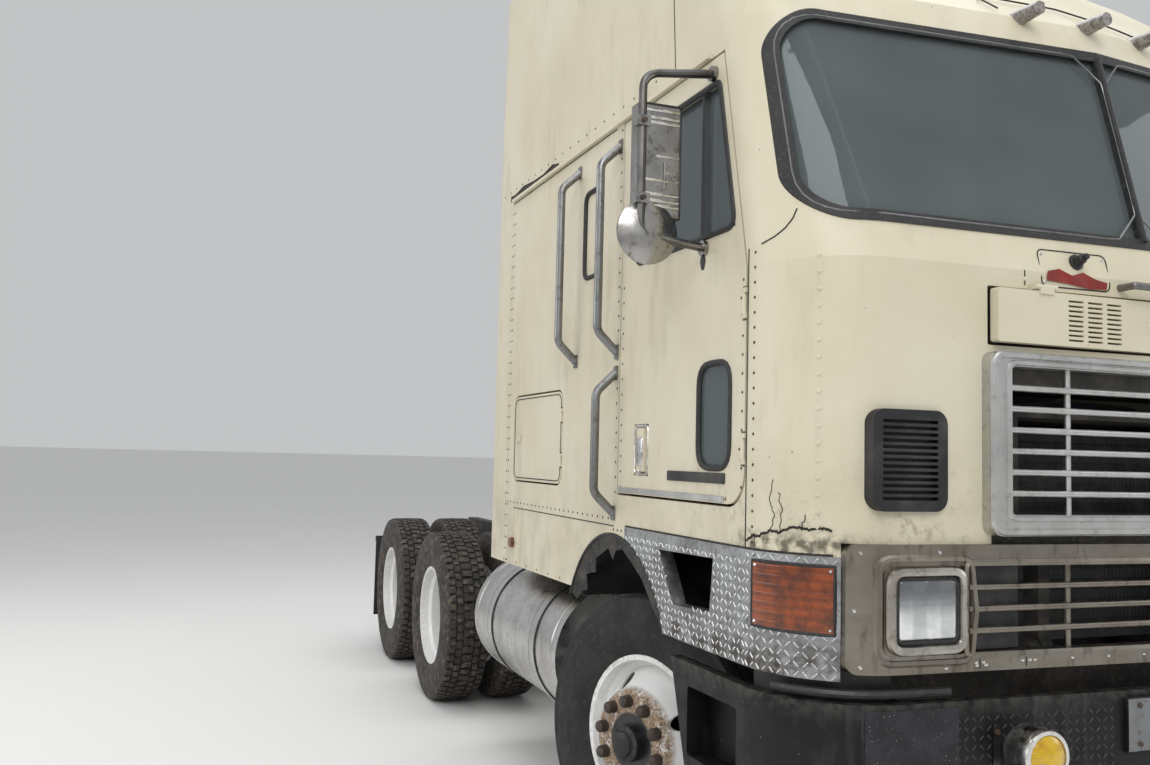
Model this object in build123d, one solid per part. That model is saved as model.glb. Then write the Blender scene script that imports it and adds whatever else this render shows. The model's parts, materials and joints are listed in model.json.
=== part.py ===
from build123d import *
import os
from math import cos, radians, sin, sqrt

os.makedirs("parts", exist_ok=True)

# Cab-over road tractor with a high-roof sleeper, two driven axles and a coupling plate.
# Millimetres, +Z up, the front faces -Y, the truck's own left side is +X.
# Every y below is measured from the front axle; save() moves the truck onto its middle.

FOREMOST_Y = -1410.0
REARMOST_Y = 4890.0
LENGTH_MIDDLE_Y = (FOREMOST_Y + REARMOST_Y) / 2
SEAT_GAP = 0.3
DOOR_GAP = 8.0
SIDES = (-1, 1)


def save(name, shape):
    export_step(Pos(0, -LENGTH_MIDDLE_Y, 0) * shape, "parts/" + name + ".step")


def block(x0, x1, y0, y1, z0, z1):
    return Pos((x0 + x1) / 2, (y0 + y1) / 2, (z0 + z1) / 2) * Box(abs(x1 - x0), abs(y1 - y0), abs(z1 - z0))


def side_block(side, x0, x1, y0, y1, z0, z1):
    return block(side * x0, side * x1, y0, y1, z0, z1)


def rod(start, end, radius):
    a = Vector(*start)
    b = Vector(*end)
    plane = Plane(origin=a, z_dir=b - a)
    return extrude(plane * Circle(radius), amount=(b - a).length)


def drum(x0, x1, y, z, radius):
    return rod((x0, y, z), (x1, y, z), radius)


def joined(shapes):
    result = shapes[0]
    for shape in shapes[1:]:
        result = result + shape
    return result


def apart(shapes):
    return Compound([solid for shape in shapes for solid in shape.solids()])


def bent_bar(points, bend, radius):
    start = Vector(*points[0])
    plane = Plane(origin=start, z_dir=Vector(*points[1]) - start)
    return sweep(plane * Circle(radius), path=FilletPolyline(*points, radius=bend))


def side_profile(points, x0, x1):
    face = Plane.YZ.offset(min(x0, x1)) * make_face(Polyline(*points, close=True))
    return extrude(face, amount=abs(x1 - x0))


def front_window(half_width, z0, z1, corner, y0, y1, x=0.0):
    plane = Plane(origin=(x, y1, (z0 + z1) / 2), x_dir=(1, 0, 0), z_dir=(0, -1, 0))
    return extrude(plane * RectangleRounded(2 * half_width, z1 - z0, corner), amount=y1 - y0)


def side_window(y0, y1, z0, z1, corner, x0, x1):
    plane = Plane(origin=(min(x0, x1), (y0 + y1) / 2, (z0 + z1) / 2), x_dir=(0, 1, 0), z_dir=(1, 0, 0))
    return extrude(plane * RectangleRounded(y1 - y0, z1 - z0, corner), amount=abs(x1 - x0))


HINGE_R = 7.0
HINGE_EAR = 14.0
HINGE_CLEAR = 6.0


def hinge_ears(plane, half, reach):
    shapes = []
    for end in (-1, 1):
        low = min(end * (half + SEAT_GAP), end * (half + SEAT_GAP + HINGE_EAR))
        middle = low + HINGE_EAR / 2
        shapes.append(Pos(0, 0, middle) * Cylinder(HINGE_R, HINGE_EAR))
        shapes.append(Pos(0, -reach / 2, middle) * Box(2 * HINGE_R, reach, HINGE_EAR))
    return [plane * shape for shape in shapes]


def hinge_barrel(plane, half, reach):
    return plane * (Cylinder(HINGE_R, 2 * half) + Pos(0, reach / 2, 0) * Box(2 * HINGE_R, reach, 2 * half))


def hinge_notch(plane, half, edge, depth):
    tall = 2 * (half + SEAT_GAP + HINGE_EAR + HINGE_CLEAR)
    return plane * (Pos(0, (depth - edge) / 2, 0) * Box(2 * HINGE_R + 2 * HINGE_CLEAR, depth + edge, tall))


def side_hinge_plane(side, x, y, z):
    return Plane(origin=(side * x, y, z), x_dir=(side, 0, 0), z_dir=(0, 0, side))


# Chassis heights and axles
AXLE_Z = 515.0
DRIVE_AXLES_Y = (2895.0, 4215.0)
RAIL_X = 432.0
RAIL_FLANGE = 80.0
RAIL_WEB = 9.0
RAIL_Z0 = 745.0
RAIL_Z1 = 1000.0
RAIL_Y0 = -1150.0
RAIL_Y1 = 4850.0

# Wheels
TYRE_R = 515.0
TYRE_HALF = 140.0
RIM_HALF = 115.0
RIM_R = 298.0
BEAD_R = 288.7
DISC_OFFSET = 177.0
DISC_THICK = 12.0
STUD_COUNT = 10
STUD_FIRST_DEG = 12.0
STUD_CIRCLE_R = 142.9
NUT_R = 20.0
NUT_LENGTH = 28.0
HAND_HOLE_COUNT = 4
HAND_HOLE_FIRST_DEG = 62.0
HAND_HOLE_R = 29.0
HAND_HOLE_CIRCLE_R = 212.0
HUB_R = 106.0
KINGPIN_X = 860.0
KINGPIN_R = 24.0
FRONT_TYRE_X = 982.0
REST_STEER_DEG = 19.2
OUTER_TWIN_X = 1070.0
INNER_TWIN_X = OUTER_TWIN_X - 2 * (DISC_OFFSET - DISC_THICK / 2) - DISC_THICK / 2 + 5.0

TYRE_PROFILE = [(-104.7, 289), (-104.7, 298.3), (-118, 298.6), (-135, 345), (-140, 400), (-134, 462),
                (-112, 507), (-60, 515), (60, 515), (112, 507), (134, 462), (140, 400), (135, 345),
                (118, 298.6), (104.7, 298.3), (104.7, 289), (72, 289), (104, 345), (118, 400), (112, 455),
                (90, 486), (-90, 486), (-112, 455), (-118, 400), (-104, 345), (-72, 289)]
RIM_PROFILE = [(-115, 298), (-105, 298), (-105, 288.7), (-62, 285), (-46, 262), (46, 262), (62, 285),
               (105, 288.7), (105, 298), (115, 298), (114, 279), (66, 274), (50, 252), (-50, 252),
               (-66, 274), (-114, 279)]


def turned(points, x, y, z):
    face = Plane.XZ * make_face(Polyline(*points, close=True))
    return Pos(x, y, z) * revolve(face, axis=Axis.X)


def tyre(x, y):
    return turned(TYRE_PROFILE, x, y, AXLE_Z)


def disc_points(side):
    seat = side * DISC_OFFSET
    back = side * (DISC_OFFSET - DISC_THICK)
    root = side * 46.0
    root_back = side * 34.0
    return [(back, 60), (seat, 60), (seat, 172), (root, 254), (root_back, 254), (back, 168)]


def rim(x, y, disc_side):
    shape = turned(RIM_PROFILE, x, y, AXLE_Z) + turned(disc_points(disc_side), x, y, AXLE_Z)
    for index in range(HAND_HOLE_COUNT):
        angle = radians(HAND_HOLE_FIRST_DEG + 360.0 / HAND_HOLE_COUNT * index)
        hole_y = y + HAND_HOLE_CIRCLE_R * cos(angle)
        hole_z = AXLE_Z + HAND_HOLE_CIRCLE_R * sin(angle)
        reach = disc_side * 200.0
        shape = shape - drum(x + disc_side * 20.0, x + reach, hole_y, hole_z, HAND_HOLE_R)
    return shape


def nuts(x, y, direction):
    shapes = []
    for index in range(STUD_COUNT):
        angle = radians(STUD_FIRST_DEG + 360.0 / STUD_COUNT * index)
        plane = Plane(origin=(x, y + STUD_CIRCLE_R * cos(angle), AXLE_Z + STUD_CIRCLE_R * sin(angle)),
                      z_dir=(direction, 0, 0))
        shapes.append(extrude(plane * RegularPolygon(NUT_R, 6), amount=NUT_LENGTH))
    return shapes


# Front wheels, knuckles and tie rod, built straight ahead and then turned about their kingpins
SPINDLE_R = 38.0
SPINDLE_CLEAR = 0.4
SPINDLE_END_X = 1120.0
FRONT_HUB_X0 = 955.0
FRONT_HUB_X1 = 1188.0
FRONT_DRUM_R = 205.0
FRONT_DRUM_X0 = 925.0
BOSS_R = 44.0
BOSS_HALF = 62.0
EAR_THICK = 34.0
EAR_GAP = 0.3
ARM_LENGTH = 170.0
ARM_Z0 = 385.0
ARM_Z1 = 417.0
ARM_HALF = 24.0
TIE_ROD_R = 17.0
TIE_ROD_Z = 365.0
TIE_END_R = 23.0
TIE_END_Z0 = 352.0


def steered(side, shape):
    centre = Pos(side * KINGPIN_X, 0, 0)
    return centre * Rot(0, 0, REST_STEER_DEG) * centre.inverse() * shape


for side, label in ((-1, "right"), (1, "left")):
    wheel = rim(side * FRONT_TYRE_X, 0.0, side)
    hub = drum(side * FRONT_HUB_X0, side * FRONT_HUB_X1, 0.0, AXLE_Z, HUB_R * 0.62)
    hub = hub + drum(side * (FRONT_TYRE_X + 120.0), side * (FRONT_TYRE_X + DISC_OFFSET), 0.0, AXLE_Z, HUB_R)
    hub = hub - drum(side * (FRONT_HUB_X0 - 5.0), side * (SPINDLE_END_X + 4.0), 0.0, AXLE_Z,
                     SPINDLE_R + SPINDLE_CLEAR)
    wheel = joined([wheel, hub] + nuts(side * (FRONT_TYRE_X + DISC_OFFSET), 0.0, side))
    save("rim_front_" + label, steered(side, wheel))
    save("tyre_front_" + label, steered(side, tyre(side * FRONT_TYRE_X, 0.0)))

    ear_z = AXLE_Z + BOSS_HALF + EAR_GAP
    kx = side * KINGPIN_X
    knuckle = rod((kx, 0, ear_z), (kx, 0, ear_z + EAR_THICK), BOSS_R)
    knuckle = knuckle + rod((kx, 0, 2 * AXLE_Z - ear_z - EAR_THICK), (kx, 0, 2 * AXLE_Z - ear_z), BOSS_R)
    knuckle = knuckle + side_block(side, KINGPIN_X, KINGPIN_X + 70.0, -36.0, 36.0, ear_z, ear_z + EAR_THICK)
    knuckle = knuckle + side_block(side, KINGPIN_X, KINGPIN_X + 70.0, -36.0, 36.0,
                                   2 * AXLE_Z - ear_z - EAR_THICK, 2 * AXLE_Z - ear_z)
    knuckle = knuckle + side_block(side, KINGPIN_X + 50.0, KINGPIN_X + 80.0, -60.0, 60.0,
                                   2 * AXLE_Z - ear_z - EAR_THICK, ear_z + EAR_THICK)
    knuckle = knuckle + drum(side * (KINGPIN_X + 70.0), side * SPINDLE_END_X, 0.0, AXLE_Z, SPINDLE_R)
    knuckle = knuckle + rod((kx, 0, ear_z - 2 * BOSS_HALF - 2 * EAR_GAP), (kx, 0, ear_z + 10.0), KINGPIN_R)
    knuckle = knuckle + block(kx - ARM_HALF, kx + ARM_HALF, 0.0, ARM_LENGTH, ARM_Z0, ARM_Z1)
    knuckle = knuckle + rod((kx, 0, ARM_Z0), (kx, 0, ARM_Z1 + 8.0), BOSS_R)
    knuckle = knuckle + rod((kx, ARM_LENGTH, ARM_Z0), (kx, ARM_LENGTH, ARM_Z1), ARM_HALF + 4.0)
    save("knuckle_" + label, steered(side, knuckle))

turn = radians(REST_STEER_DEG)
tie_y = ARM_LENGTH * cos(turn)
tie_shift = -ARM_LENGTH * sin(turn)
tie_rod = drum(-KINGPIN_X + tie_shift, KINGPIN_X + tie_shift, tie_y, TIE_ROD_Z, TIE_ROD_R)
for side in SIDES:
    end_x = side * KINGPIN_X + tie_shift
    tie_rod = tie_rod + rod((end_x, tie_y, TIE_END_Z0), (end_x, tie_y, ARM_Z0 - EAR_GAP), TIE_END_R)
save("tie_rod", tie_rod)

BEAM_Z = 430.0
BEAM_HALF_Y = 45.0
BEAM_HALF_Z = 55.0
BEAM_FLAT_X = 500.0
beam_top = [(-KINGPIN_X + 10, AXLE_Z + 40), (-BEAM_FLAT_X, BEAM_Z + BEAM_HALF_Z),
            (BEAM_FLAT_X, BEAM_Z + BEAM_HALF_Z), (KINGPIN_X - 10, AXLE_Z + 40)]
beam_low = [(KINGPIN_X - 10, AXLE_Z - 45), (BEAM_FLAT_X, BEAM_Z - BEAM_HALF_Z),
            (-BEAM_FLAT_X, BEAM_Z - BEAM_HALF_Z), (-KINGPIN_X + 10, AXLE_Z - 45)]
beam_face = Plane.XZ.offset(-BEAM_HALF_Y) * make_face(Polyline(*(beam_top + beam_low), close=True))
front_axle = extrude(beam_face, amount=2 * BEAM_HALF_Y)
for side in SIDES:
    kx = side * KINGPIN_X
    front_axle = front_axle + rod((kx, 0, AXLE_Z - BOSS_HALF), (kx, 0, AXLE_Z + BOSS_HALF), BOSS_R)
for side in SIDES:
    kx = side * KINGPIN_X
    front_axle = front_axle - rod((kx, 0, AXLE_Z - 100), (kx, 0, AXLE_Z + 100), KINGPIN_R + SPINDLE_CLEAR)
save("front_axle", front_axle)

# Twin driven wheels
DRIVE_SPINDLE_R = 55.0
DRIVE_HUB_X0 = 800.0
DRIVE_HUB_X1 = 1000.0
DRIVE_HUB_END_X = 1035.0
TWIN_SEAT_X = OUTER_TWIN_X - DISC_OFFSET
INNER_RIM_X = TWIN_SEAT_X - DISC_OFFSET
DRIVE_DRUM_R = 205.0
DRIVE_DRUM_X0 = 640.0
AXLE_TUBE_R = 72.0
HUB_END_R = 90.0

for index, axle_y in enumerate(DRIVE_AXLES_Y):
    for side, label in ((-1, "right"), (1, "left")):
        outer = rim(side * OUTER_TWIN_X, axle_y, -side)
        inner = rim(side * INNER_RIM_X, axle_y, side)
        hub = drum(side * DRIVE_HUB_X0, side * DRIVE_HUB_X1, axle_y, AXLE_Z, HUB_R)
        hub = hub + drum(side * DRIVE_HUB_X1, side * DRIVE_HUB_END_X, axle_y, AXLE_Z, HUB_END_R)
        brake = drum(side * DRIVE_DRUM_X0, side * (TWIN_SEAT_X - DISC_THICK), axle_y, AXLE_Z, DRIVE_DRUM_R)
        brake = brake - drum(side * (DRIVE_DRUM_X0 - 5.0), side * (TWIN_SEAT_X - 40.0), axle_y, AXLE_Z,
                             DRIVE_DRUM_R - 16.0)
        wheels = joined([outer, inner, hub, brake] + nuts(side * (TWIN_SEAT_X + DISC_THICK), axle_y, side))
        wheels = wheels - drum(side * (DRIVE_HUB_X0 - 5.0), side * (DRIVE_HUB_X1 - 20.0), axle_y, AXLE_Z,
                               DRIVE_SPINDLE_R + SPINDLE_CLEAR)
        number = str(index + 1)
        save("rims_drive_" + number + "_" + label, wheels)
        save("tyres_drive_" + number + "_" + label,
             apart([tyre(side * OUTER_TWIN_X, axle_y), tyre(side * INNER_RIM_X, axle_y)]))

# Driven axles with their housings and shafts
HOUSING_R = 200.0
HOUSING_HALF = 120.0
NOSE_R = 95.0
SHAFT_R = 50.0
GEARBOX_END_Y = 1500.0
GEARBOX_SHAFT_Z = 730.0
SPINDLE_X = DRIVE_HUB_X1 - 24.0
drive_axles = []
for axle_y in DRIVE_AXLES_Y:
    axle = drum(-620.0, 620.0, axle_y, AXLE_Z, AXLE_TUBE_R)
    axle = axle + drum(-SPINDLE_X, SPINDLE_X, axle_y, AXLE_Z, DRIVE_SPINDLE_R)
    axle = axle + drum(-HOUSING_HALF, HOUSING_HALF, axle_y, AXLE_Z, HOUSING_R)
    axle = axle + rod((0, axle_y, AXLE_Z + 70), (0, axle_y - 330, AXLE_Z + 90), NOSE_R)
    drive_axles.append(axle)
drive_axles.append(rod((0, GEARBOX_END_Y + 12.0, GEARBOX_SHAFT_Z), (0, DRIVE_AXLES_Y[0] - 320, AXLE_Z + 92),
                       SHAFT_R))
drive_axles.append(rod((0, DRIVE_AXLES_Y[0] + 60, AXLE_Z + 80), (0, DRIVE_AXLES_Y[1] - 320, AXLE_Z + 85),
                       SHAFT_R))
save("drive_axles", joined(drive_axles))

# Springs: one pack each side of the front axle, one pack over each driven axle
SPRING_HALF_X = 38.0
SPRING_THICK = 60.0
FRONT_SPRING_HALF = 640.0
FRONT_SPRING_Z = BEAM_Z + BEAM_HALF_Z + SEAT_GAP
DRIVE_SPRING_HALF = 520.0
DRIVE_SPRING_Z = AXLE_Z + AXLE_TUBE_R - 8.0
HANGER_HALF = 45.0


def spring(x, y, z, half, rise, thick):
    low = [(y - half, z + rise), (y, z), (y + half, z + rise)]
    high = [(y + half, z + rise + thick * 0.4), (y, z + thick), (y - half, z + rise + thick * 0.4)]
    edges = [ThreePointArc(*low), Line(low[2], high[0]), ThreePointArc(*high), Line(high[2], low[0])]
    face = Plane.YZ.offset(x - SPRING_HALF_X) * make_face(edges)
    return extrude(face, amount=2 * SPRING_HALF_X)


springs = []
for side in SIDES:
    sx = side * RAIL_X
    pack = spring(sx, 0.0, FRONT_SPRING_Z, FRONT_SPRING_HALF, 160.0, SPRING_THICK)
    for end in (-1, 1):
        y = end * (FRONT_SPRING_HALF - 15.0)
        pack = pack + block(sx - SPRING_HALF_X, sx + SPRING_HALF_X, y - HANGER_HALF, y + HANGER_HALF,
                            FRONT_SPRING_Z + 150.0, RAIL_Z0 - SEAT_GAP)
    springs.append(pack)
    for axle_y in DRIVE_AXLES_Y:
        pack = spring(sx, axle_y, DRIVE_SPRING_Z + 8.0 + SEAT_GAP, DRIVE_SPRING_HALF, 60.0, 70.0)
        for end in (-1, 1):
            y = axle_y + end * (DRIVE_SPRING_HALF - 15.0)
            pack = pack + block(sx - SPRING_HALF_X, sx + SPRING_HALF_X, y - HANGER_HALF, y + HANGER_HALF,
                                DRIVE_SPRING_Z + 50.0, RAIL_Z0 - SEAT_GAP)
        springs.append(pack)
save("springs", apart(springs))

# Frame: two channel rails and their crossmembers
CROSSMEMBERS_Y = (-1080.0, 1600.0, 2240.0, 3000.0, 3555.0, 4180.0, 4815.0)
CROSS_HALF_Y = 35.0
CROSS_Z0 = 790.0
CROSS_Z1 = 955.0
PIVOT_Y = -1200.0
PIVOT_Z = 1010.0
PIVOT_PIN_R = 22.0
PIVOT_LUG_R = 36.0
PIVOT_BRACKET = [(PIVOT_Y, PIVOT_Z), (PIVOT_Y + 15.0, PIVOT_Z - 60.0), (PIVOT_Y + 50.0, PIVOT_Z - 110.0),
                 (PIVOT_Y + 50.0, PIVOT_Z - 140.0), (PIVOT_Y + 110.0, PIVOT_Z - 140.0), (PIVOT_Y + 110.0, PIVOT_Z)]
PIVOT_BRACKET_X0 = 392.0
PIVOT_BRACKET_X1 = 432.0
PIVOT_LUG_X0 = 345.0
PIVOT_LUG_X1 = 387.0
BUMPER_BRACKET_Z0 = 640.0
BUMPER_BRACKET_Z1 = 840.0
BUMPER_FACE_Y = -1300.0
BUMPER_WALL = 12.0
BUMPER_HALF = 1195.0
BUMPER_CORNER = 300.0
BUMPER_RISE = 30.0
bumper_back_y = BUMPER_FACE_Y + BUMPER_WALL + BUMPER_RISE * PIVOT_BRACKET_X1 / (BUMPER_HALF - BUMPER_CORNER)

frame = []
for side in SIDES:
    rail = side_block(side, RAIL_X - RAIL_FLANGE, RAIL_X, RAIL_Y0, RAIL_Y1, RAIL_Z0, RAIL_Z1)
    rail = rail - side_block(side, RAIL_X - RAIL_FLANGE - 1, RAIL_X - RAIL_WEB, RAIL_Y0 - 1, RAIL_Y1 + 1,
                             RAIL_Z0 + RAIL_WEB, RAIL_Z1 - RAIL_WEB)
    frame.append(rail)
    frame.append(side_profile(PIVOT_BRACKET, side * PIVOT_BRACKET_X0, side * PIVOT_BRACKET_X1))
    frame.append(rod((side * PIVOT_BRACKET_X0, PIVOT_Y, PIVOT_Z), (side * PIVOT_BRACKET_X1, PIVOT_Y, PIVOT_Z),
                     PIVOT_LUG_R))
    frame.append(rod((side * (PIVOT_LUG_X0 - 12), PIVOT_Y, PIVOT_Z), (side * PIVOT_BRACKET_X1, PIVOT_Y, PIVOT_Z),
                     PIVOT_PIN_R))
    frame.append(side_block(side, PIVOT_BRACKET_X0, PIVOT_BRACKET_X1, bumper_back_y + SEAT_GAP,
                            RAIL_Y0 + 60.0, BUMPER_BRACKET_Z0, BUMPER_BRACKET_Z1))
for y in CROSSMEMBERS_Y:
    frame.append(block(-RAIL_X + RAIL_WEB, RAIL_X - RAIL_WEB, y - CROSS_HALF_Y, y + CROSS_HALF_Y,
                       CROSS_Z0, CROSS_Z1))
save("frame", joined(frame))

# Engine with gearbox, and the radiator in front of it
ENGINE_HALF_X = 310.0
ENGINE_Y0 = -820.0
ENGINE_Y1 = 300.0
ENGINE_Z0 = 600.0
ENGINE_Z1 = 1560.0
GEARBOX_HALF_X = 240.0
GEARBOX_Z0 = 640.0
GEARBOX_Z1 = 1150.0
RADIATOR_HALF_X = 430.0
RADIATOR_Y0 = -1060.0
RADIATOR_Y1 = -960.0
RADIATOR_Z0 = RAIL_Z1 + 5.0
RADIATOR_Z1 = 1640.0
engine = block(-ENGINE_HALF_X, ENGINE_HALF_X, ENGINE_Y0, ENGINE_Y1, ENGINE_Z0, ENGINE_Z1)
engine = engine + block(-GEARBOX_HALF_X, GEARBOX_HALF_X, ENGINE_Y1, GEARBOX_END_Y, GEARBOX_Z0, GEARBOX_Z1)
for side in SIDES:
    engine = engine + side_block(side, ENGINE_HALF_X, RAIL_X - RAIL_WEB - SEAT_GAP, -300.0, -180.0, 860.0, 940.0)
save("engine", engine)
radiator = block(-RADIATOR_HALF_X, RADIATOR_HALF_X, RADIATOR_Y0, RADIATOR_Y1, RADIATOR_Z0, RADIATOR_Z1)
for side in SIDES:
    radiator = radiator + side_block(side, 340.0, 420.0, RADIATOR_Y0, RADIATOR_Y1,
                                     RAIL_Z1 + SEAT_GAP, RADIATOR_Z0)
save("radiator", radiator)

# Front bumper with its step holes, blank plate and the two round lamps in front
BUMPER_Z0 = 480.0
BUMPER_Z1 = 900.0
BUMPER_FLANGE = 40.0
BUMPER_REAR_TOP_Y = -502.0
BUMPER_REAR_LOW_Y = -650.0
BUMPER_STEP = (-928.0, -628.0, 623.0, 830.0, 12.0)
STEP_TRAY_X = 1110.0
TRAY_WALL = 5.0
PLATE_HALF = 152.0
PLATE_Z0 = 730.0
PLATE_Z1 = 882.0


def plan(half, front, rise, corner, rear, rear_corner, z):
    shoulder_x = half - corner
    shoulder_y = front + rise
    knee = corner * sqrt(0.5)
    heel = rear_corner * sqrt(0.5)
    right = []
    left = []
    for side, edges in ((1, right), (-1, left)):
        edges.append(Line((0, front), (side * shoulder_x, shoulder_y)))
        edges.append(ThreePointArc((side * shoulder_x, shoulder_y),
                                   (side * (shoulder_x + knee), shoulder_y + corner - knee),
                                   (side * half, shoulder_y + corner)))
        edges.append(Line((side * half, shoulder_y + corner), (side * half, rear - rear_corner)))
        edges.append(ThreePointArc((side * half, rear - rear_corner),
                                   (side * (half - rear_corner + heel), rear - rear_corner + heel),
                                   (side * (half - rear_corner), rear)))
    middle = [Line((half - rear_corner, rear), (-half + rear_corner, rear))]
    return Pos(0, 0, z) * make_face(right + middle + left)


bumper_outer = extrude(plan(BUMPER_HALF, BUMPER_FACE_Y, BUMPER_RISE, BUMPER_CORNER, 0.0, 60.0, BUMPER_Z0),
                       amount=BUMPER_Z1 - BUMPER_Z0)
bumper_inner = extrude(plan(BUMPER_HALF - BUMPER_WALL, BUMPER_FACE_Y + BUMPER_WALL, BUMPER_RISE,
                            BUMPER_CORNER - BUMPER_WALL, 10.0, 60.0, BUMPER_Z0 - 1),
                       amount=BUMPER_Z1 - BUMPER_Z0 + 2)
bumper_ring = extrude(plan(BUMPER_HALF - BUMPER_FLANGE, BUMPER_FACE_Y + BUMPER_FLANGE, BUMPER_RISE,
                           BUMPER_CORNER - BUMPER_FLANGE, 10.0, 60.0, BUMPER_Z1 - BUMPER_WALL - 1),
                      amount=BUMPER_WALL + 2)
bumper_lid = extrude(plan(BUMPER_HALF, BUMPER_FACE_Y, BUMPER_RISE, BUMPER_CORNER, 0.0, 60.0,
                          BUMPER_Z1 - BUMPER_WALL), amount=BUMPER_WALL)
bumper = (bumper_outer - bumper_inner) + (bumper_lid - bumper_ring)
bumper_zone = side_profile([(-2000, 0), (BUMPER_REAR_LOW_Y, 0), (BUMPER_REAR_LOW_Y, BUMPER_Z0),
                            (BUMPER_REAR_TOP_Y, BUMPER_Z1 + 20), (-2000, BUMPER_Z1 + 20)],
                           -BUMPER_HALF - 100, BUMPER_HALF + 100)
bumper = bumper & bumper_zone
tray_y0, tray_y1, tray_z0, tray_z1, tray_corner = BUMPER_STEP
for side in SIDES:
    tray = side_block(side, STEP_TRAY_X, BUMPER_HALF - 4.0, tray_y0 - TRAY_WALL, tray_y1 + TRAY_WALL,
                      tray_z0 - TRAY_WALL, tray_z1 + TRAY_WALL)
    tray = tray - side_block(side, STEP_TRAY_X + TRAY_WALL, BUMPER_HALF + 1.0, tray_y0, tray_y1, tray_z0, tray_z1)
    bumper = bumper - side_window(*BUMPER_STEP, side * 1100.0, side * 1300.0)
    bumper = bumper + (tray & bumper_outer)
bumper = bumper + block(-PLATE_HALF, PLATE_HALF, BUMPER_FACE_Y - 8.0, BUMPER_FACE_Y + 8.0, PLATE_Z0, PLATE_Z1)
save("front_bumper", bumper)

FOG_X = 550.0
FOG_Z = 775.0
FOG_R = 70.0
FOG_LENS_R = 56.0
FOG_BACK_Y = -1330.0
FOG_FRONT_Y = -1400.0
fog_lamps = []
for side in SIDES:
    lamp = rod((side * FOG_X, FOG_BACK_Y, FOG_Z), (side * FOG_X, FOG_FRONT_Y, FOG_Z), FOG_R)
    lamp = lamp + rod((side * FOG_X, FOG_FRONT_Y, FOG_Z), (side * FOG_X, FOREMOST_Y, FOG_Z), FOG_LENS_R)
    lamp = lamp + rod((side * FOG_X, BUMPER_FACE_Y + 40.0, FOG_Z), (side * FOG_X, FOG_BACK_Y, FOG_Z), 24.0)
    fog_lamps.append(lamp - extrude(plan(BUMPER_HALF, BUMPER_FACE_Y - SEAT_GAP, BUMPER_RISE, BUMPER_CORNER,
                                         0.0, 60.0, BUMPER_Z0), amount=BUMPER_Z1 - BUMPER_Z0))
save("fog_lamps", apart(fog_lamps))

# Fuel tanks with straps and brackets
TANK_X = 870.0
TANK_Z = 670.0
TANK_R = 305.0
TANK_Y0 = 625.0
TANK_Y1 = 1900.0
STRAP_HALF = 32.0
STRAP_THICK = 6.0
STRAPS_Y = (930.0, 1600.0)
tanks = []
for side in SIDES:
    tank = rod((side * TANK_X, TANK_Y0, TANK_Z), (side * TANK_X, TANK_Y1, TANK_Z), TANK_R)
    for y in STRAPS_Y:
        tank = tank + rod((side * TANK_X, y - STRAP_HALF, TANK_Z), (side * TANK_X, y + STRAP_HALF, TANK_Z),
                          TANK_R + STRAP_THICK)
        tank = tank + side_block(side, RAIL_X + SEAT_GAP, TANK_X - 120.0, y - STRAP_HALF, y + STRAP_HALF,
                                 TANK_Z - 60.0, RAIL_Z1 - 60.0)
    tanks.append(tank)
save("fuel_tanks", apart(tanks))

# Deck behind the cab and the upright exhaust behind its left rear corner
DECK_HALF = 430.0
DECK_Y0 = 1760.0
DECK_Y1 = 2330.0
DECK_THICK = 8.0
save("deck_plate", block(-DECK_HALF, DECK_HALF, DECK_Y0, DECK_Y1, RAIL_Z1 + SEAT_GAP,
                         RAIL_Z1 + SEAT_GAP + DECK_THICK))

STACK_X = 820.0
STACK_Y = 1810.0
STACK_R = 63.0
SILENCER_R = 120.0
STACK_TOP_Z = 3700.0
STACK_FOOT_Z = 1010.0
STACK_POST_Y = STACK_Y + 125.0
stack = rod((STACK_X, STACK_Y, STACK_FOOT_Z), (STACK_X, STACK_Y, STACK_TOP_Z), STACK_R)
stack = stack + rod((STACK_X, STACK_Y, 1500.0), (STACK_X, STACK_Y, 2600.0), SILENCER_R)
stack = stack - rod((STACK_X, STACK_Y, 3000.0), (STACK_X, STACK_Y, STACK_TOP_Z + 1.0), STACK_R - 3.0)
stack = stack + block(RAIL_X + SEAT_GAP, STACK_X + STACK_R, STACK_POST_Y - 30.0, STACK_POST_Y + 30.0, 905.0, 985.0)
stack = stack + block(STACK_X - 40.0, STACK_X + 40.0, STACK_POST_Y - 30.0, STACK_POST_Y + 30.0, 905.0, 1600.0)
save("exhaust_stack", stack)

# Mudflaps and lamps at the rear end
FLAP_X0 = 600.0
FLAP_X1 = 1200.0
FLAP_Y0 = 4800.0
FLAP_THICK = 12.0
FLAP_Z0 = 230.0
FLAP_Z1 = 850.0
flaps = []
lamps = []
for side in SIDES:
    flap = side_block(side, FLAP_X0, FLAP_X1, FLAP_Y0, FLAP_Y0 + FLAP_THICK, FLAP_Z0, FLAP_Z1)
    flap = flap + side_block(side, RAIL_X + SEAT_GAP, FLAP_X1, FLAP_Y0 + FLAP_THICK, FLAP_Y0 + 40.0,
                             FLAP_Z1 - 40.0, FLAP_Z1)
    flaps.append(flap)
    lamps.append(side_block(side, RAIL_X + 30.0, RAIL_X + 150.0, FLAP_Y0 + 40.0 + SEAT_GAP, REARMOST_Y - 40.0,
                            FLAP_Z1 - 100.0, FLAP_Z1))
save("mudflaps", apart(flaps))
save("tail_lamps", apart(lamps))

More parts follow.
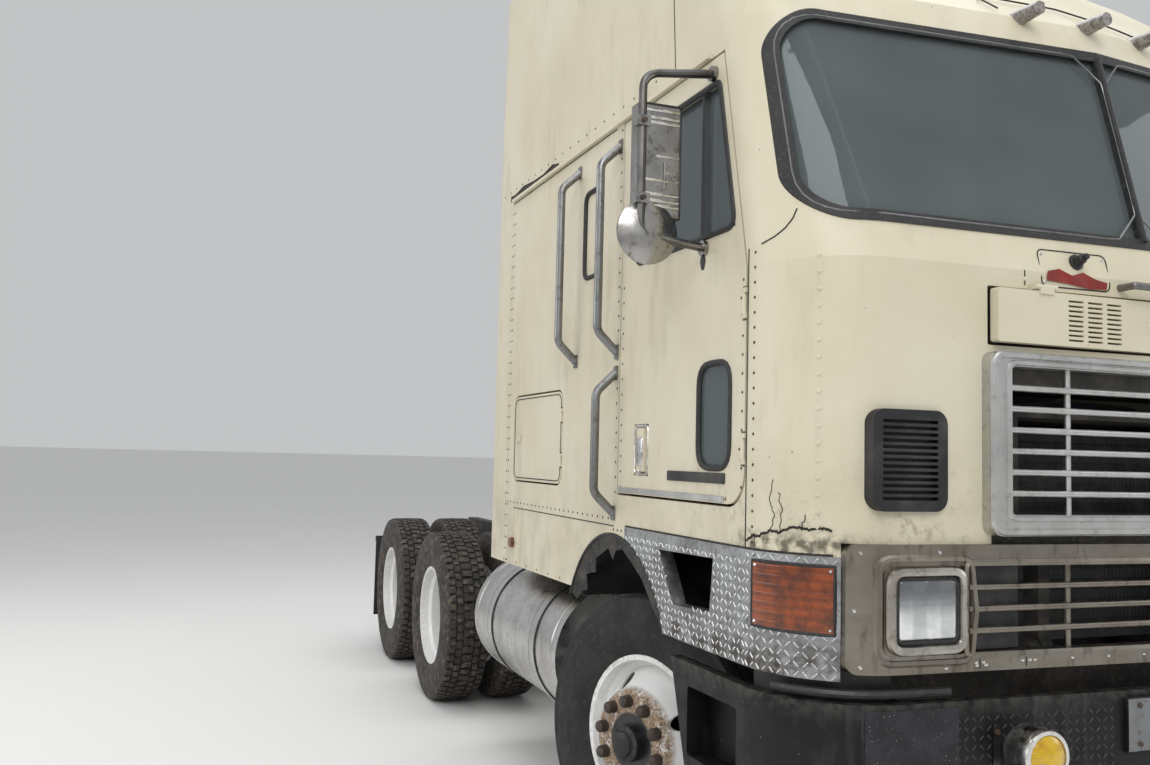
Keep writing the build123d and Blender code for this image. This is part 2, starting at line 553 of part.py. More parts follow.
# Cab shell sections: z, half width, front, rise to the shoulder, corner radius, rear, rear corner radius
CAB_HALF = 1190.0
CAB_REAR = 1632.0
WALL = 50.0
CAB_Z0 = 955.0
SKIRT_Z = 1005.0
BELT_Z = 2085.0
SCREEN_TOP_Z = 2865.0
SECTIONS = (
    (CAB_Z0, CAB_HALF, -1288.0, 30.0, 300.0, CAB_REAR, 70.0),
    (BELT_Z, CAB_HALF, -1288.0, 30.0, 300.0, CAB_REAR, 70.0),
    (SCREEN_TOP_Z, CAB_HALF, -1085.0, 85.0, 220.0, CAB_REAR, 70.0),
    (2960.0, CAB_HALF, -1050.0, 85.0, 220.0, CAB_REAR, 70.0),
    (3450.0, CAB_HALF, -450.0, 60.0, 330.0, CAB_REAR, 90.0),
    (3890.0, CAB_HALF, 150.0, 60.0, 330.0, CAB_REAR, 110.0),
    (4000.0, CAB_HALF - 110.0, 330.0, 60.0, 250.0, CAB_REAR - 70.0, 110.0),
)
ROOF_THICK = 40.0


def shell_plan(row, inset, z):
    level, half, front, rise, corner, rear, rear_corner = row
    return plan(half - inset, front + inset, rise, corner - inset, rear - inset, max(rear_corner - inset, 15.0), z)


def cab_block(inset, top_drop):
    faces = []
    for index, row in enumerate(SECTIONS):
        z = row[0]
        if index == 0:
            z = z - (1.0 if inset else 0.0)
        if index == len(SECTIONS) - 1:
            z = z - top_drop
        faces.append(shell_plan(row, inset, z))
    return loft(faces, ruled=True)


outer_cab = cab_block(0.0, 0.0)
inner_cab = cab_block(WALL, ROOF_THICK)
room = cab_block(WALL + SEAT_GAP, ROOF_THICK + SEAT_GAP)
shell = outer_cab - inner_cab

ROOF_SIDE_Z = 2797.0
ROOF_FRONT_Z = 2885.0
DOOR_FRONT_Y = -953.0
DOOR_TOP_FRONT_Y = -798.0
DOOR_REAR_Y = -32.0
DOOR_Z0 = 1390.0
DOOR_Z1 = 2785.0
SLEEPER_SEAM_Y = 1332.0
SPAN_X = CAB_HALF + 200.0
PILLAR_SLOPE = (DOOR_TOP_FRONT_Y - DOOR_FRONT_Y) / (DOOR_Z1 - BELT_Z)
pillar_top_y = DOOR_FRONT_Y + PILLAR_SLOPE * (ROOF_FRONT_Z - BELT_Z)

front_zone = side_profile([(-2000, 900), (DOOR_FRONT_Y, 900), (DOOR_FRONT_Y, BELT_Z),
                           (pillar_top_y, ROOF_FRONT_Z), (-2000, ROOF_FRONT_Z)], -SPAN_X, SPAN_X)
rear_zone = block(-SPAN_X, SPAN_X, SLEEPER_SEAM_Y, 2500.0, 900.0, ROOF_SIDE_Z)
below_roof = block(-SPAN_X, SPAN_X, -2000.0, 2500.0, 900.0, ROOF_SIDE_Z)

PLATE_TOP_Z = 1278.0
PLATE_INNER_X = 1050.0
PLATE_REAR_Y = -108.0
ARCH_Z = 775.0
ARCH_R = 470.0
BEZEL_Z0 = 978.0
BEZEL_Z1 = 1315.0

arch_cut = drum(-SPAN_X, SPAN_X, 0.0, ARCH_Z, ARCH_R)
skirt_cut = block(-SPAN_X, SPAN_X, 0.0, 2500.0, 900.0, SKIRT_Z)

# Windscreen opening, glass in two halves and its rubber
SCREEN_HALF = 1150.0
SCREEN_Z0 = 2190.0
SCREEN_CORNER = 150.0
GASKET = 34.0
GLASS_IN = 14.0
GLASS_THICK = 8.0
screen_hole = front_window(SCREEN_HALF, SCREEN_Z0, SCREEN_TOP_Z, SCREEN_CORNER, -1600.0, -790.0)
glass_hole = front_window(SCREEN_HALF - GASKET, SCREEN_Z0 + GASKET, SCREEN_TOP_Z - GASKET,
                          SCREEN_CORNER - GASKET, -1600.0, -790.0)
divider = block(-14.0, 14.0, -1600.0, -790.0, SCREEN_Z0, SCREEN_TOP_Z)

# Hinge places: axis position and heights
DOOR_HINGE_X = CAB_HALF
DOOR_HINGE_Y = DOOR_FRONT_Y + 14.0
DOOR_HINGES_Z = (1560.0, 1980.0)
DOOR_HINGE_HALF = 30.0
HINGE_DEPTH = HINGE_R + HINGE_CLEAR + 1.0
FLAP_HINGES_X = (-430.0, 430.0)
FLAP_HINGE_HALF = 25.0

# Grille, flap and vent openings in the front wall
GRILLE_HALF = 630.0
GRILLE_Z0 = 1340.0
GRILLE_Z1 = 1845.0
GRILLE_OPEN_HALF = 565.0
GRILLE_OPEN_Z0 = 1396.0
GRILLE_OPEN_Z1 = 1805.0
GRILLE_LIP = 20.0
FLAP_HALF = 610.0
FLAP_LOW_Z = 1865.0
FLAP_TOP_Z = 2032.0
FLAP_HINGE_Z = FLAP_TOP_Z + 4.0
FLAP_HINGE_Y = -1299.0
FLAP_EAR_REACH = 29.0
FLAP_LEAF = 20.0
VENT_X = 875.0
VENT_HALF = 122.0
VENT_Z0 = 1402.0
VENT_Z1 = 1674.0
grille_hole = front_window(GRILLE_HALF - 12.0, GRILLE_Z0 + 12.0, GRILLE_Z1 - 12.0, 25.0, -1600.0, -1100.0)
flap_hole = front_window(FLAP_HALF, FLAP_LOW_Z, FLAP_TOP_Z, 6.0, -1600.0, -1100.0)
bezel_hole = block(-PLATE_INNER_X, PLATE_INNER_X, -1600.0, -1000.0, 900.0, BEZEL_Z1)

cab_front = shell & front_zone
cab_front = cab_front - screen_hole - grille_hole - flap_hole - bezel_hole
for side in SIDES:
    cab_front = cab_front - front_window(VENT_HALF, VENT_Z0, VENT_Z1, 40.0, -1600.0, -1000.0, side * VENT_X)
    cab_front = cab_front - side_block(side, PLATE_INNER_X, SPAN_X, -1600.0, PLATE_REAR_Y, 900.0, PLATE_TOP_Z)
    for z in DOOR_HINGES_Z:
        plane = side_hinge_plane(side, DOOR_HINGE_X, DOOR_HINGE_Y, z)
        cab_front = joined([cab_front] + hinge_ears(plane, DOOR_HINGE_HALF, DOOR_HINGE_Y - DOOR_FRONT_Y + 1.0))
for x in FLAP_HINGES_X:
    plane = Plane(origin=(x, FLAP_HINGE_Y, FLAP_HINGE_Z), x_dir=(0, 0, 1), z_dir=(1, 0, 0))
    cab_front = joined([cab_front] + hinge_ears(plane, FLAP_HINGE_HALF, FLAP_EAR_REACH))
save("cab_front", cab_front)

# Diamond-tread corner panels under the doors, each with a step hole and a lamp pocket
STEP_HOLE = [(-395.0, 1225.0), (-770.0, 1233.0), (-751.0, 1069.0), (-504.0, 1060.0)]
TURN_LAMP_Y0 = -1185.0
TURN_LAMP_Y1 = -988.0
TURN_LAMP_Z0 = 1085.0
TURN_LAMP_Z1 = 1255.0
plates = []
turn_lamps = []
for side in SIDES:
    plate = shell & side_block(side, PLATE_INNER_X, SPAN_X, -1600.0, PLATE_REAR_Y, 900.0, PLATE_TOP_Z)
    plate = plate - arch_cut
    plate = plate - side_profile(STEP_HOLE, side * 1050.0, side * 1300.0)
    pocket = side_block(side, PLATE_INNER_X + 25.0, SPAN_X, TURN_LAMP_Y0, TURN_LAMP_Y1, TURN_LAMP_Z0, TURN_LAMP_Z1)
    turn_lamps.append(plate & pocket)
    plates.append(plate - pocket)
save("fender_plates", apart(plates))

# Side walls, rear wall and roof
LUGGAGE = (562.0, 1242.0, 1400.0, 1810.0, 60.0)
LUGGAGE_HINGE_X = CAB_HALF
LUGGAGE_HINGE_Y = LUGGAGE[0] + 14.0
LUGGAGE_HINGES_Z = (1510.0, 1700.0)
LUGGAGE_HINGE_HALF = 14.0
SIDE_LIGHT = (192.0, 352.0, 2245.0, 2595.0, 45.0)
DOOR_CORNER = 100.0
DRIP_OUT = 18.0
DRIP_TALL = 14.0


def door_outline(gap):
    y0 = DOOR_FRONT_Y + gap
    y1 = DOOR_REAR_Y - gap
    z0 = DOOR_Z0 + gap
    z1 = DOOR_Z1 - gap
    top_y = y0 + PILLAR_SLOPE * (z1 - BELT_Z)
    c = DOOR_CORNER
    heel = c * (1 - sqrt(0.5))
    edges = [Line((y0, z0 + c), (y0, BELT_Z)), Line((y0, BELT_Z), (top_y, z1)), Line((top_y, z1), (y1, z1)),
             Line((y1, z1), (y1, z0)), Line((y1, z0), (y0 + c, z0)),
             ThreePointArc((y0 + c, z0), (y0 + heel, z0 + heel), (y0, z0 + c))]
    return make_face(edges)


def door_block(gap, side, x0, x1):
    near = min(side * x0, side * x1)
    return extrude(Plane.YZ.offset(near) * door_outline(gap), amount=x1 - x0)


sleeper_panes = []
for side, label in ((-1, "right"), (1, "left")):
    half_zone = side_block(side, 0.0, SPAN_X, -2000.0, SLEEPER_SEAM_Y, 900.0, ROOF_SIDE_Z)
    wall = (shell & half_zone) - front_zone - arch_cut - skirt_cut
    wall = wall - side_block(side, 1000.0, SPAN_X, -1600.0, PLATE_REAR_Y, 900.0, PLATE_TOP_Z)
    wall = wall - door_block(0.0, side, 1000.0, 1300.0)
    wall = wall - side_window(*LUGGAGE, side * 1000.0, side * 1300.0)
    wall = wall - side_window(*SIDE_LIGHT, side * 1000.0, side * 1300.0)
    for z in LUGGAGE_HINGES_Z:
        plane = side_hinge_plane(side, LUGGAGE_HINGE_X, LUGGAGE_HINGE_Y, z)
        wall = joined([wall] + hinge_ears(plane, LUGGAGE_HINGE_HALF, LUGGAGE_HINGE_Y - LUGGAGE[0] + 1.0))
    rail_bar = side_block(side, CAB_HALF - 5.0, CAB_HALF + DRIP_OUT, -720.0, SLEEPER_SEAM_Y,
                          ROOF_SIDE_Z - DRIP_TALL, ROOF_SIDE_Z)
    save("cab_side_" + label, wall + (rail_bar - front_zone))
    y0, y1, z0, z1, corner = SIDE_LIGHT
    pane = side_window(y0 + SEAT_GAP, y1 - SEAT_GAP, z0 + SEAT_GAP, z1 - SEAT_GAP, corner - SEAT_GAP,
                       side * (CAB_HALF - 30.0), side * (CAB_HALF - 6.0))
    sleeper_panes.append(pane)
save("sleeper_windows", apart(sleeper_panes))

cab_rear_wall = (shell & rear_zone) - skirt_cut
save("cab_rear_wall", cab_rear_wall)

roof = shell - front_zone - below_roof
save("roof_fairing", roof)

# Windscreen glass and rubber lie in the slope of the front wall
glass_layer = cab_block(GLASS_IN, 20.0) - cab_block(GLASS_IN + GLASS_THICK, 30.0)
windscreen = (glass_layer & glass_hole) - divider
save("windscreen", apart([windscreen]))
rubber = (cab_block(-4.0, -4.0) - cab_block(WALL - 10.0, 30.0)) & (screen_hole - (glass_hole - divider))
save("windscreen_gasket", rubber & front_window(SCREEN_HALF - SEAT_GAP, SCREEN_Z0 + SEAT_GAP,
                                                SCREEN_TOP_Z - SEAT_GAP, SCREEN_CORNER - SEAT_GAP,
                                                -1600.0, -790.0))

# Upper grille: frame, six bars across and three upright
GRILLE_BARS = 6
BAR_R = 9.0
UPRIGHTS_X = (-336.0, 0.0, 336.0)
FACE_Y = -1288.0


def front_y(x):
    return FACE_Y + 30.0 * abs(x) / 890.0


grille = front_window(GRILLE_HALF, GRILLE_Z0, GRILLE_Z1, 30.0, FACE_Y - GRILLE_LIP, FACE_Y + 34.0)
grille = grille - front_window(GRILLE_OPEN_HALF, GRILLE_OPEN_Z0, GRILLE_OPEN_Z1, 18.0, -1600.0, -1100.0)
grille = grille - (cab_front & block(-700.0, 700.0, -1400.0, -1200.0, 1300.0, 1860.0))
pitch = (GRILLE_OPEN_Z1 - GRILLE_OPEN_Z0) / (GRILLE_BARS + 1)
for index in range(GRILLE_BARS):
    z = GRILLE_OPEN_Z0 + pitch * (index + 1)
    grille = grille + drum(-GRILLE_OPEN_HALF - 5.0, GRILLE_OPEN_HALF + 5.0, FACE_Y - 2.0, z, BAR_R)
for x in UPRIGHTS_X:
    grille = grille + rod((x, FACE_Y + 8.0, GRILLE_OPEN_Z0 - 5.0), (x, FACE_Y + 8.0, GRILLE_OPEN_Z1 + 5.0), BAR_R)
save("upper_grille", grille)

# Lower grille: one long frame with three bars and an opening for each headlamp
LAMP_X = 825.0
LAMP_HALF = 135.0
LAMP_Z0 = 1025.0
LAMP_Z1 = 1260.0
LOWER_OPEN_HALF = 690.0
LOWER_OPEN_Z0 = 1028.0
LOWER_OPEN_Z1 = 1259.0
LOWER_BARS = 3
BEZEL_HALF = PLATE_INNER_X - SEAT_GAP
bezel = (cab_block(-18.0, -18.0) - cab_block(24.0, 30.0))
bezel = bezel & front_window(BEZEL_HALF, BEZEL_Z0, BEZEL_Z1 - SEAT_GAP, 30.0, -1600.0, -1000.0)
bezel = bezel - front_window(LOWER_OPEN_HALF, LOWER_OPEN_Z0, LOWER_OPEN_Z1, 15.0, -1600.0, -1000.0)
for side in SIDES:
    bezel = bezel - front_window(LAMP_HALF, LAMP_Z0, LAMP_Z1, 30.0, -1600.0, -1000.0, side * LAMP_X)
lower_pitch = (LOWER_OPEN_Z1 - LOWER_OPEN_Z0) / (LOWER_BARS + 1)
for index in range(LOWER_BARS):
    z = LOWER_OPEN_Z0 + lower_pitch * (index + 1)
    bezel = bezel + drum(-LOWER_OPEN_HALF - 5.0, LOWER_OPEN_HALF + 5.0, FACE_Y + 4.0, z, BAR_R)
for x in UPRIGHTS_X:
    bezel = bezel + rod((x, FACE_Y + 14.0, LOWER_OPEN_Z0 - 5.0), (x, FACE_Y + 14.0, LOWER_OPEN_Z1 + 5.0), BAR_R)
save("lower_grille", bezel)

headlamps = []
for side in SIDES:
    bowl = front_window(LAMP_HALF - SEAT_GAP, LAMP_Z0 + SEAT_GAP, LAMP_Z1 - SEAT_GAP, 29.0,
                        FACE_Y + 14.0, FACE_Y + 60.0, side * LAMP_X)
    ring_hole = front_window(95.0, 1065.0, 1225.0, 20.0, FACE_Y + 10.0, FACE_Y + 30.0, side * LAMP_X)
    lamp = front_window(93.0, 1067.0, 1223.0, 18.0, FACE_Y + 20.0, FACE_Y + 32.0, side * LAMP_X)
    headlamps.append((bowl - ring_hole) + lamp)
save("headlamps", apart(headlamps))

# Vents of stamped louvres beside the grille
LOUVRES = 13
vents = []
for side in SIDES:
    vent = front_window(VENT_HALF - SEAT_GAP, VENT_Z0 + SEAT_GAP, VENT_Z1 - SEAT_GAP, 39.0, -1275.0, -1225.0,
                        side * VENT_X)
    step = (VENT_Z1 - VENT_Z0 - 50.0) / LOUVRES
    for index in range(LOUVRES):
        z = VENT_Z0 + 25.0 + step * index
        vent = vent - side_block(side, VENT_X - 90.0, VENT_X + 90.0, -1300.0, -1255.0, z + 5.0, z + step - 3.0)
    vents.append(vent)
save("front_vents", apart(vents))

# Marker lamps: five along the brow, one corner lamp and one side lamp on each side
ROOF_LAMPS_X = (-1040.0, -254.0, 0.0, 254.0, 1040.0)
ROOF_LAMP_Z = 2960.0
ROOF_LAMP_BASE_R = 31.0
ROOF_LAMP_TIP_R = 21.0
ROOF_LAMP_LENGTH = 150.0
ROOF_LAMP_OUT = 75.0
brow_block = cab_block(-SEAT_GAP, -SEAT_GAP)
marker_lamps = [lamp for lamp in turn_lamps]
for x in ROOF_LAMPS_X:
    y = -1060.0 + 85.0 * min(abs(x), 970.0) / 970.0 + max(abs(x) - 970.0, 0.0) * 0.9
    nacelle = Plane(origin=(x, y - ROOF_LAMP_OUT + ROOF_LAMP_LENGTH / 2, ROOF_LAMP_Z), z_dir=(0, -1, 0)) * Cone(
        ROOF_LAMP_BASE_R, ROOF_LAMP_TIP_R, ROOF_LAMP_LENGTH)
    marker_lamps.append(nacelle - brow_block)
for side in SIDES:
    marker_lamps.append(rod((side * (CAB_HALF + 0.3), 1213.0, 1110.0), (side * (CAB_HALF + 18.0), 1213.0, 1110.0),
                            24.0))
save("marker_lamps", apart(marker_lamps))

# Liners over the front wheels
LINER_OUT = ARCH_R - 2.0
LINER_IN = ARCH_R - 10.0
LINER_X0 = 640.0
LINER_X1 = CAB_HALF - WALL - SEAT_GAP
LINER_Z0 = 965.0
liners = []
for side in SIDES:
    liner = drum(side * LINER_X0, side * LINER_X1, 0.0, ARCH_Z, LINER_OUT)
    liner = liner - drum(side * (LINER_X0 - 1), side * (LINER_X1 + 1), 0.0, ARCH_Z, LINER_IN)
    liner = liner & side_block(side, LINER_X0 - 5, LINER_X1 + 5, -600.0, 600.0, LINER_Z0, 1400.0)
    liner = liner + side_block(side, LINER_X0, LINER_X1, -30.0, 30.0, ARCH_Z + LINER_OUT - 4.0,
                               1290.0 - SEAT_GAP)
    liners.append(liner)
save("arch_liners", apart(liners))

# Floor with the engine tunnel, the tilt lugs and the bunk board
FLOOR_Z0 = 1290.0
FLOOR_Z1 = 1325.0
TUNNEL_HALF = 460.0
TUNNEL_Y1 = 450.0
TUNNEL_Z1 = 1690.0
TUNNEL_WALL = 20.0
BUNK_BOARD_Z0 = 1840.0
BUNK_BOARD_Z1 = 1860.0
BUNK_Y0 = 520.0
floor_plan = shell_plan(SECTIONS[0], WALL + SEAT_GAP, FLOOR_Z0)
floor = extrude(floor_plan, amount=FLOOR_Z1 - FLOOR_Z0)
floor = floor - block(-TUNNEL_HALF, TUNNEL_HALF, -1400.0, TUNNEL_Y1, FLOOR_Z0 - 1, FLOOR_Z1 + 1)
tunnel = block(-TUNNEL_HALF - TUNNEL_WALL, TUNNEL_HALF + TUNNEL_WALL, -1230.0, TUNNEL_Y1 + TUNNEL_WALL,
               FLOOR_Z0, TUNNEL_Z1)
tunnel = tunnel - block(-TUNNEL_HALF, TUNNEL_HALF, -1400.0, TUNNEL_Y1, FLOOR_Z0 - 1, TUNNEL_Z1 - TUNNEL_WALL)
floor = floor + (tunnel & room)
bunk_plan = shell_plan(SECTIONS[0], WALL + SEAT_GAP, BUNK_BOARD_Z0)
floor = floor + (extrude(bunk_plan, amount=BUNK_BOARD_Z1 - BUNK_BOARD_Z0)
                 & block(-1300.0, 1300.0, BUNK_Y0, 2000.0, BUNK_BOARD_Z0, BUNK_BOARD_Z1))
floor = floor + block(-1100.0, 1100.0, BUNK_Y0, BUNK_Y0 + 20.0, FLOOR_Z1 - 1.0, BUNK_BOARD_Z1)
for side in SIDES:
    lug = side_block(side, PIVOT_LUG_X0, PIVOT_LUG_X1, PIVOT_Y - 20.0, PIVOT_Y + 36.0, PIVOT_Z, FLOOR_Z1)
    lug = lug + side_block(side, PIVOT_LUG_X0, TUNNEL_HALF + 5.0, PIVOT_Y - 20.0, PIVOT_Y + 36.0, FLOOR_Z0, FLOOR_Z1)
    lug = lug + rod((side * PIVOT_LUG_X0, PIVOT_Y, PIVOT_Z), (side * PIVOT_LUG_X1, PIVOT_Y, PIVOT_Z), PIVOT_LUG_R)
    lug = lug - rod((side * (PIVOT_LUG_X0 - 20), PIVOT_Y, PIVOT_Z), (side * (PIVOT_LUG_X1 + 20), PIVOT_Y, PIVOT_Z),
                    PIVOT_PIN_R + 0.4)
    floor = floor + lug
save("cab_floor", floor)

# Seats, bunk mattress, dashboard and steering wheel
SEAT_X = 700.0
SEAT_HALF = 240.0
seats = []
for side in SIDES:
    seat = side_block(side, SEAT_X - 120.0, SEAT_X + 120.0, -320.0, -80.0, FLOOR_Z1 + SEAT_GAP, 1640.0)
    seat = seat + side_block(side, SEAT_X - SEAT_HALF + 20.0, SEAT_X + SEAT_HALF - 20.0, -470.0, 0.0, 1640.0, 1780.0)
    seat = seat + side_block(side, SEAT_X - SEAT_HALF + 20.0, SEAT_X + SEAT_HALF - 20.0, -60.0, 60.0, 1780.0, 2450.0)
    seats.append(seat)
seats.append(block(-1130.0, 1130.0, BUNK_Y0 + 20.0, 1570.0, BUNK_BOARD_Z1 + SEAT_GAP, BUNK_BOARD_Z1 + 150.0))
save("seats", apart(seats))

DASH_Z0 = 1750.0
DASH_Z1 = 2130.0
WHEEL_X = 620.0
dash = extrude(shell_plan(SECTIONS[1], WALL + SEAT_GAP, DASH_Z0), amount=BELT_Z - DASH_Z0)
dash = dash & block(-1300.0, 1300.0, -1400.0, -990.0, DASH_Z0, DASH_Z1)
column_top = (WHEEL_X, -700.0, 1985.0)
dash = dash + rod((WHEEL_X, -1050.0, 1800.0), column_top, 28.0)
wheel_plane = Plane(origin=column_top, z_dir=(0, 0.62, 1))
dash = dash + wheel_plane * Torus(230.0, 16.0)
for angle in (0.0, 90.0, 180.0, 270.0):
    spoke = Rot(0, 0, angle) * (Pos(115.0, 0, 0) * Box(225.0, 22.0, 14.0))
    dash = dash + wheel_plane * spoke
save("dashboard", dash)

# Grab rails: side, place along the truck, low and high end
RAIL_OUT = 82.0
GRAB_R = 16.0
GRAB_BEND = 55.0
GRAB_RUN = 75.0
GRAB_TAB = 26.0
GRAB_TAB_THICK = 6.0
FRONT_GRAB_HALF = 133.0
FRONT_GRAB_Z = 2060.0
FRONT_GRAB_OUT = 48.0
FRONT_GRAB_R = 11.0
GRABS = ((-28.0, 1892.0, 2725.0), (-10.0, 1296.0, 1866.0), (420.0, 1889.0, 2730.0))
grabs = []
for side in SIDES:
    for y, z0, z1 in GRABS:
        y = max(y, DOOR_REAR_Y + 26.0)
        x1 = side * (CAB_HALF + RAIL_OUT)
        foot = side * (CAB_HALF + SEAT_GAP + GRAB_TAB_THICK / 2)
        low = z0 + GRAB_TAB
        high = z1 - GRAB_TAB
        grab = bent_bar([(foot, y, low), (x1, y, low + GRAB_RUN), (x1, y, high - GRAB_RUN), (foot, y, high)],
                        GRAB_BEND, GRAB_R)
        grab = grab - side_block(side, CAB_HALF - 60.0, CAB_HALF + SEAT_GAP, y - 60.0, y + 60.0, z0 - 60.0, z1 + 60.0)
        for z in (low, high):
            grab = grab + side_block(side, CAB_HALF + SEAT_GAP, CAB_HALF + SEAT_GAP + GRAB_TAB_THICK,
                                     y - GRAB_R, y + GRAB_R, z - GRAB_TAB, z + GRAB_TAB)
        grabs.append(grab)
front_grab_y = FACE_Y - FRONT_GRAB_OUT
grab = drum(-FRONT_GRAB_HALF, FRONT_GRAB_HALF, front_grab_y, FRONT_GRAB_Z, FRONT_GRAB_R)
for side in SIDES:
    x = side * FRONT_GRAB_HALF
    grab = grab + rod((x, FACE_Y + 20.0, FRONT_GRAB_Z), (x, front_grab_y, FRONT_GRAB_Z), FRONT_GRAB_R)
    grab = grab + Pos(x, front_grab_y, FRONT_GRAB_Z) * Sphere(FRONT_GRAB_R)
grabs.append(grab - brow_block)
save("grab_rails", apart(grabs))

# Doors with quarter light, glass and mirrors
DOOR_THICK = 60.0
WINDOW_Z0 = 2220.0
WINDOW_Z1 = 2695.0
WINDOW_REAR_Y = -175.0
WINDOW_FRONT_Y = -878.0
DIVIDER_Y = -658.0
PEEP = (-862.0, -662.0, 1501.0, 1821.0, 70.0)
LATCH = (-298.0, -178.0, 1465.0, 1645.0)
MIRROR_X = 1420.0
MIRROR_ARM_Y = -705.0
MIRROR_TOP_Y = -735.0
MIRROR_TOP_Z = 2728.0
MIRROR_LOW_Y = -690.0
MIRROR_LOW_Z = 2185.0
MIRROR_BEND = 55.0
MIRROR_TUBE_R = 12.0
MIRROR_PAD_R = 24.0
MIRROR_CLAMPS_Z = (2315.0, 2555.0)
MIRROR_BOWL_IN = 30.0
MIRROR_BOWL_Z = 2217.0
MIRROR_BOWL_R = 100.0
MIRROR_BOWL_CURVE = 220.0
MIRROR_BOWL_DEEP = 22.0


def window_outline(gap):
    y0 = WINDOW_FRONT_Y + gap
    y1 = WINDOW_REAR_Y - gap
    z0 = WINDOW_Z0 + gap
    z1 = WINDOW_Z1 - gap
    top_y = y0 + PILLAR_SLOPE * (z1 - z0)
    return make_face(Polyline((y0, z0), (top_y, z1), (y1, z1), (y1, z0), close=True))


for side, label in ((-1, "right"), (1, "left")):
    door = door_block(DOOR_GAP, side, CAB_HALF - DOOR_THICK, CAB_HALF)
    near = min(side * 1000.0, side * 1300.0)
    door = door - extrude(Plane.YZ.offset(near) * window_outline(0.0), amount=300.0)
    if side < 0:
        door = door - side_window(*PEEP, side * 1000.0, side * 1300.0)
    for z in DOOR_HINGES_Z:
        plane = side_hinge_plane(side, DOOR_HINGE_X, DOOR_HINGE_Y, z)
        door = door - hinge_notch(plane, DOOR_HINGE_HALF, 30.0, HINGE_DEPTH)
        door = door + hinge_barrel(plane, DOOR_HINGE_HALF, HINGE_DEPTH + 1.0)
    y0, y1, z0, z1 = LATCH
    door = door - side_block(side, CAB_HALF - 8.0, CAB_HALF + 5.0, y0, y1, z0, z1)
    door = door + side_block(side, CAB_HALF - 12.0, CAB_HALF + 4.0, y0 + 30.0, y1 - 30.0, z0 + 15.0, z1 - 15.0)
    save("door_" + label, door)
    inner_x = min(side * (CAB_HALF - 26.0), side * (CAB_HALF - 20.0))
    pane = extrude(Plane.YZ.offset(inner_x) * window_outline(SEAT_GAP), amount=6.0)
    bar = side_block(side, CAB_HALF - 34.0, CAB_HALF - 8.0, DIVIDER_Y - 12.0, DIVIDER_Y + 12.0,
                     WINDOW_Z0 + SEAT_GAP, WINDOW_Z1 - SEAT_GAP)
    panes = [pane + bar]
    if side < 0:
        py0, py1, pz0, pz1, pc = PEEP
        panes.append(side_window(py0 + SEAT_GAP, py1 - SEAT_GAP, pz0 + SEAT_GAP, pz1 - SEAT_GAP, pc - SEAT_GAP,
                                 side * (CAB_HALF - 26.0), side * (CAB_HALF - 6.0)))
    save("door_glass_" + label, apart(panes))
    skin = side * (CAB_HALF + SEAT_GAP)
    arm_x = side * MIRROR_X
    arm = bent_bar([(side * (CAB_HALF - 20.0), MIRROR_TOP_Y, MIRROR_TOP_Z), (arm_x, MIRROR_ARM_Y, MIRROR_TOP_Z - 22.0),
                    (arm_x, MIRROR_ARM_Y, MIRROR_LOW_Z + 20.0), (side * (CAB_HALF - 20.0), MIRROR_LOW_Y, MIRROR_LOW_Z)],
                   MIRROR_BEND, MIRROR_TUBE_R)
    arm = arm - side_block(side, 1000.0, CAB_HALF + SEAT_GAP, -1000.0, 0.0, 2100.0, 2800.0)
    for y, z in ((MIRROR_TOP_Y, MIRROR_TOP_Z), (MIRROR_LOW_Y, MIRROR_LOW_Z)):
        arm = arm + rod((skin, y, z), (side * (CAB_HALF + 14.0), y, z), MIRROR_PAD_R)
    head_y = MIRROR_ARM_Y + MIRROR_TUBE_R - 2.0
    arm = arm + side_block(side, MIRROR_X - 135.0, MIRROR_X + 6.0, head_y, head_y + 60.0, 2262.0, 2620.0)
    for z in MIRROR_CLAMPS_Z:
        arm = arm + side_block(side, MIRROR_X - 22.0, MIRROR_X + 22.0, MIRROR_ARM_Y - 16.0, head_y + 2.0,
                               z - 16.0, z + 16.0)
    bowl_x = side * (MIRROR_X - MIRROR_BOWL_IN)
    bowl_y = MIRROR_ARM_Y + MIRROR_TUBE_R - 2.0
    bowl = Pos(bowl_x, bowl_y + MIRROR_BOWL_CURVE - MIRROR_BOWL_DEEP, MIRROR_BOWL_Z) * Sphere(MIRROR_BOWL_CURVE)
    bowl = bowl & block(-1600.0, 1600.0, bowl_y - MIRROR_BOWL_DEEP - 1.0, bowl_y + 12.0, 2000.0, 2400.0)
    bowl = bowl & rod((bowl_x, bowl_y - 60.0, MIRROR_BOWL_Z), (bowl_x, bowl_y + 60.0, MIRROR_BOWL_Z), MIRROR_BOWL_R)
    save("mirror_" + label, joined([arm] + list(bowl.solids())))

# Luggage doors under the bunk
LUGGAGE_THICK = 42.0
for side, label in ((-1, "right"), (1, "left")):
    y0, y1, z0, z1, corner = LUGGAGE
    lid = side_window(y0 + DOOR_GAP, y1 - DOOR_GAP, z0 + DOOR_GAP, z1 - DOOR_GAP, corner - DOOR_GAP,
                      side * (CAB_HALF - LUGGAGE_THICK), side * CAB_HALF)
    for z in LUGGAGE_HINGES_Z:
        plane = side_hinge_plane(side, LUGGAGE_HINGE_X, LUGGAGE_HINGE_Y, z)
        lid = lid - hinge_notch(plane, LUGGAGE_HINGE_HALF, 30.0, HINGE_DEPTH)
        lid = lid + hinge_barrel(plane, LUGGAGE_HINGE_HALF, HINGE_DEPTH + 1.0)
    lid = lid + side_block(side, CAB_HALF - 4.0, CAB_HALF + 10.0, y1 - 120.0, y1 - 60.0, 1590.0, 1620.0)
    save("luggage_door_" + label, lid)

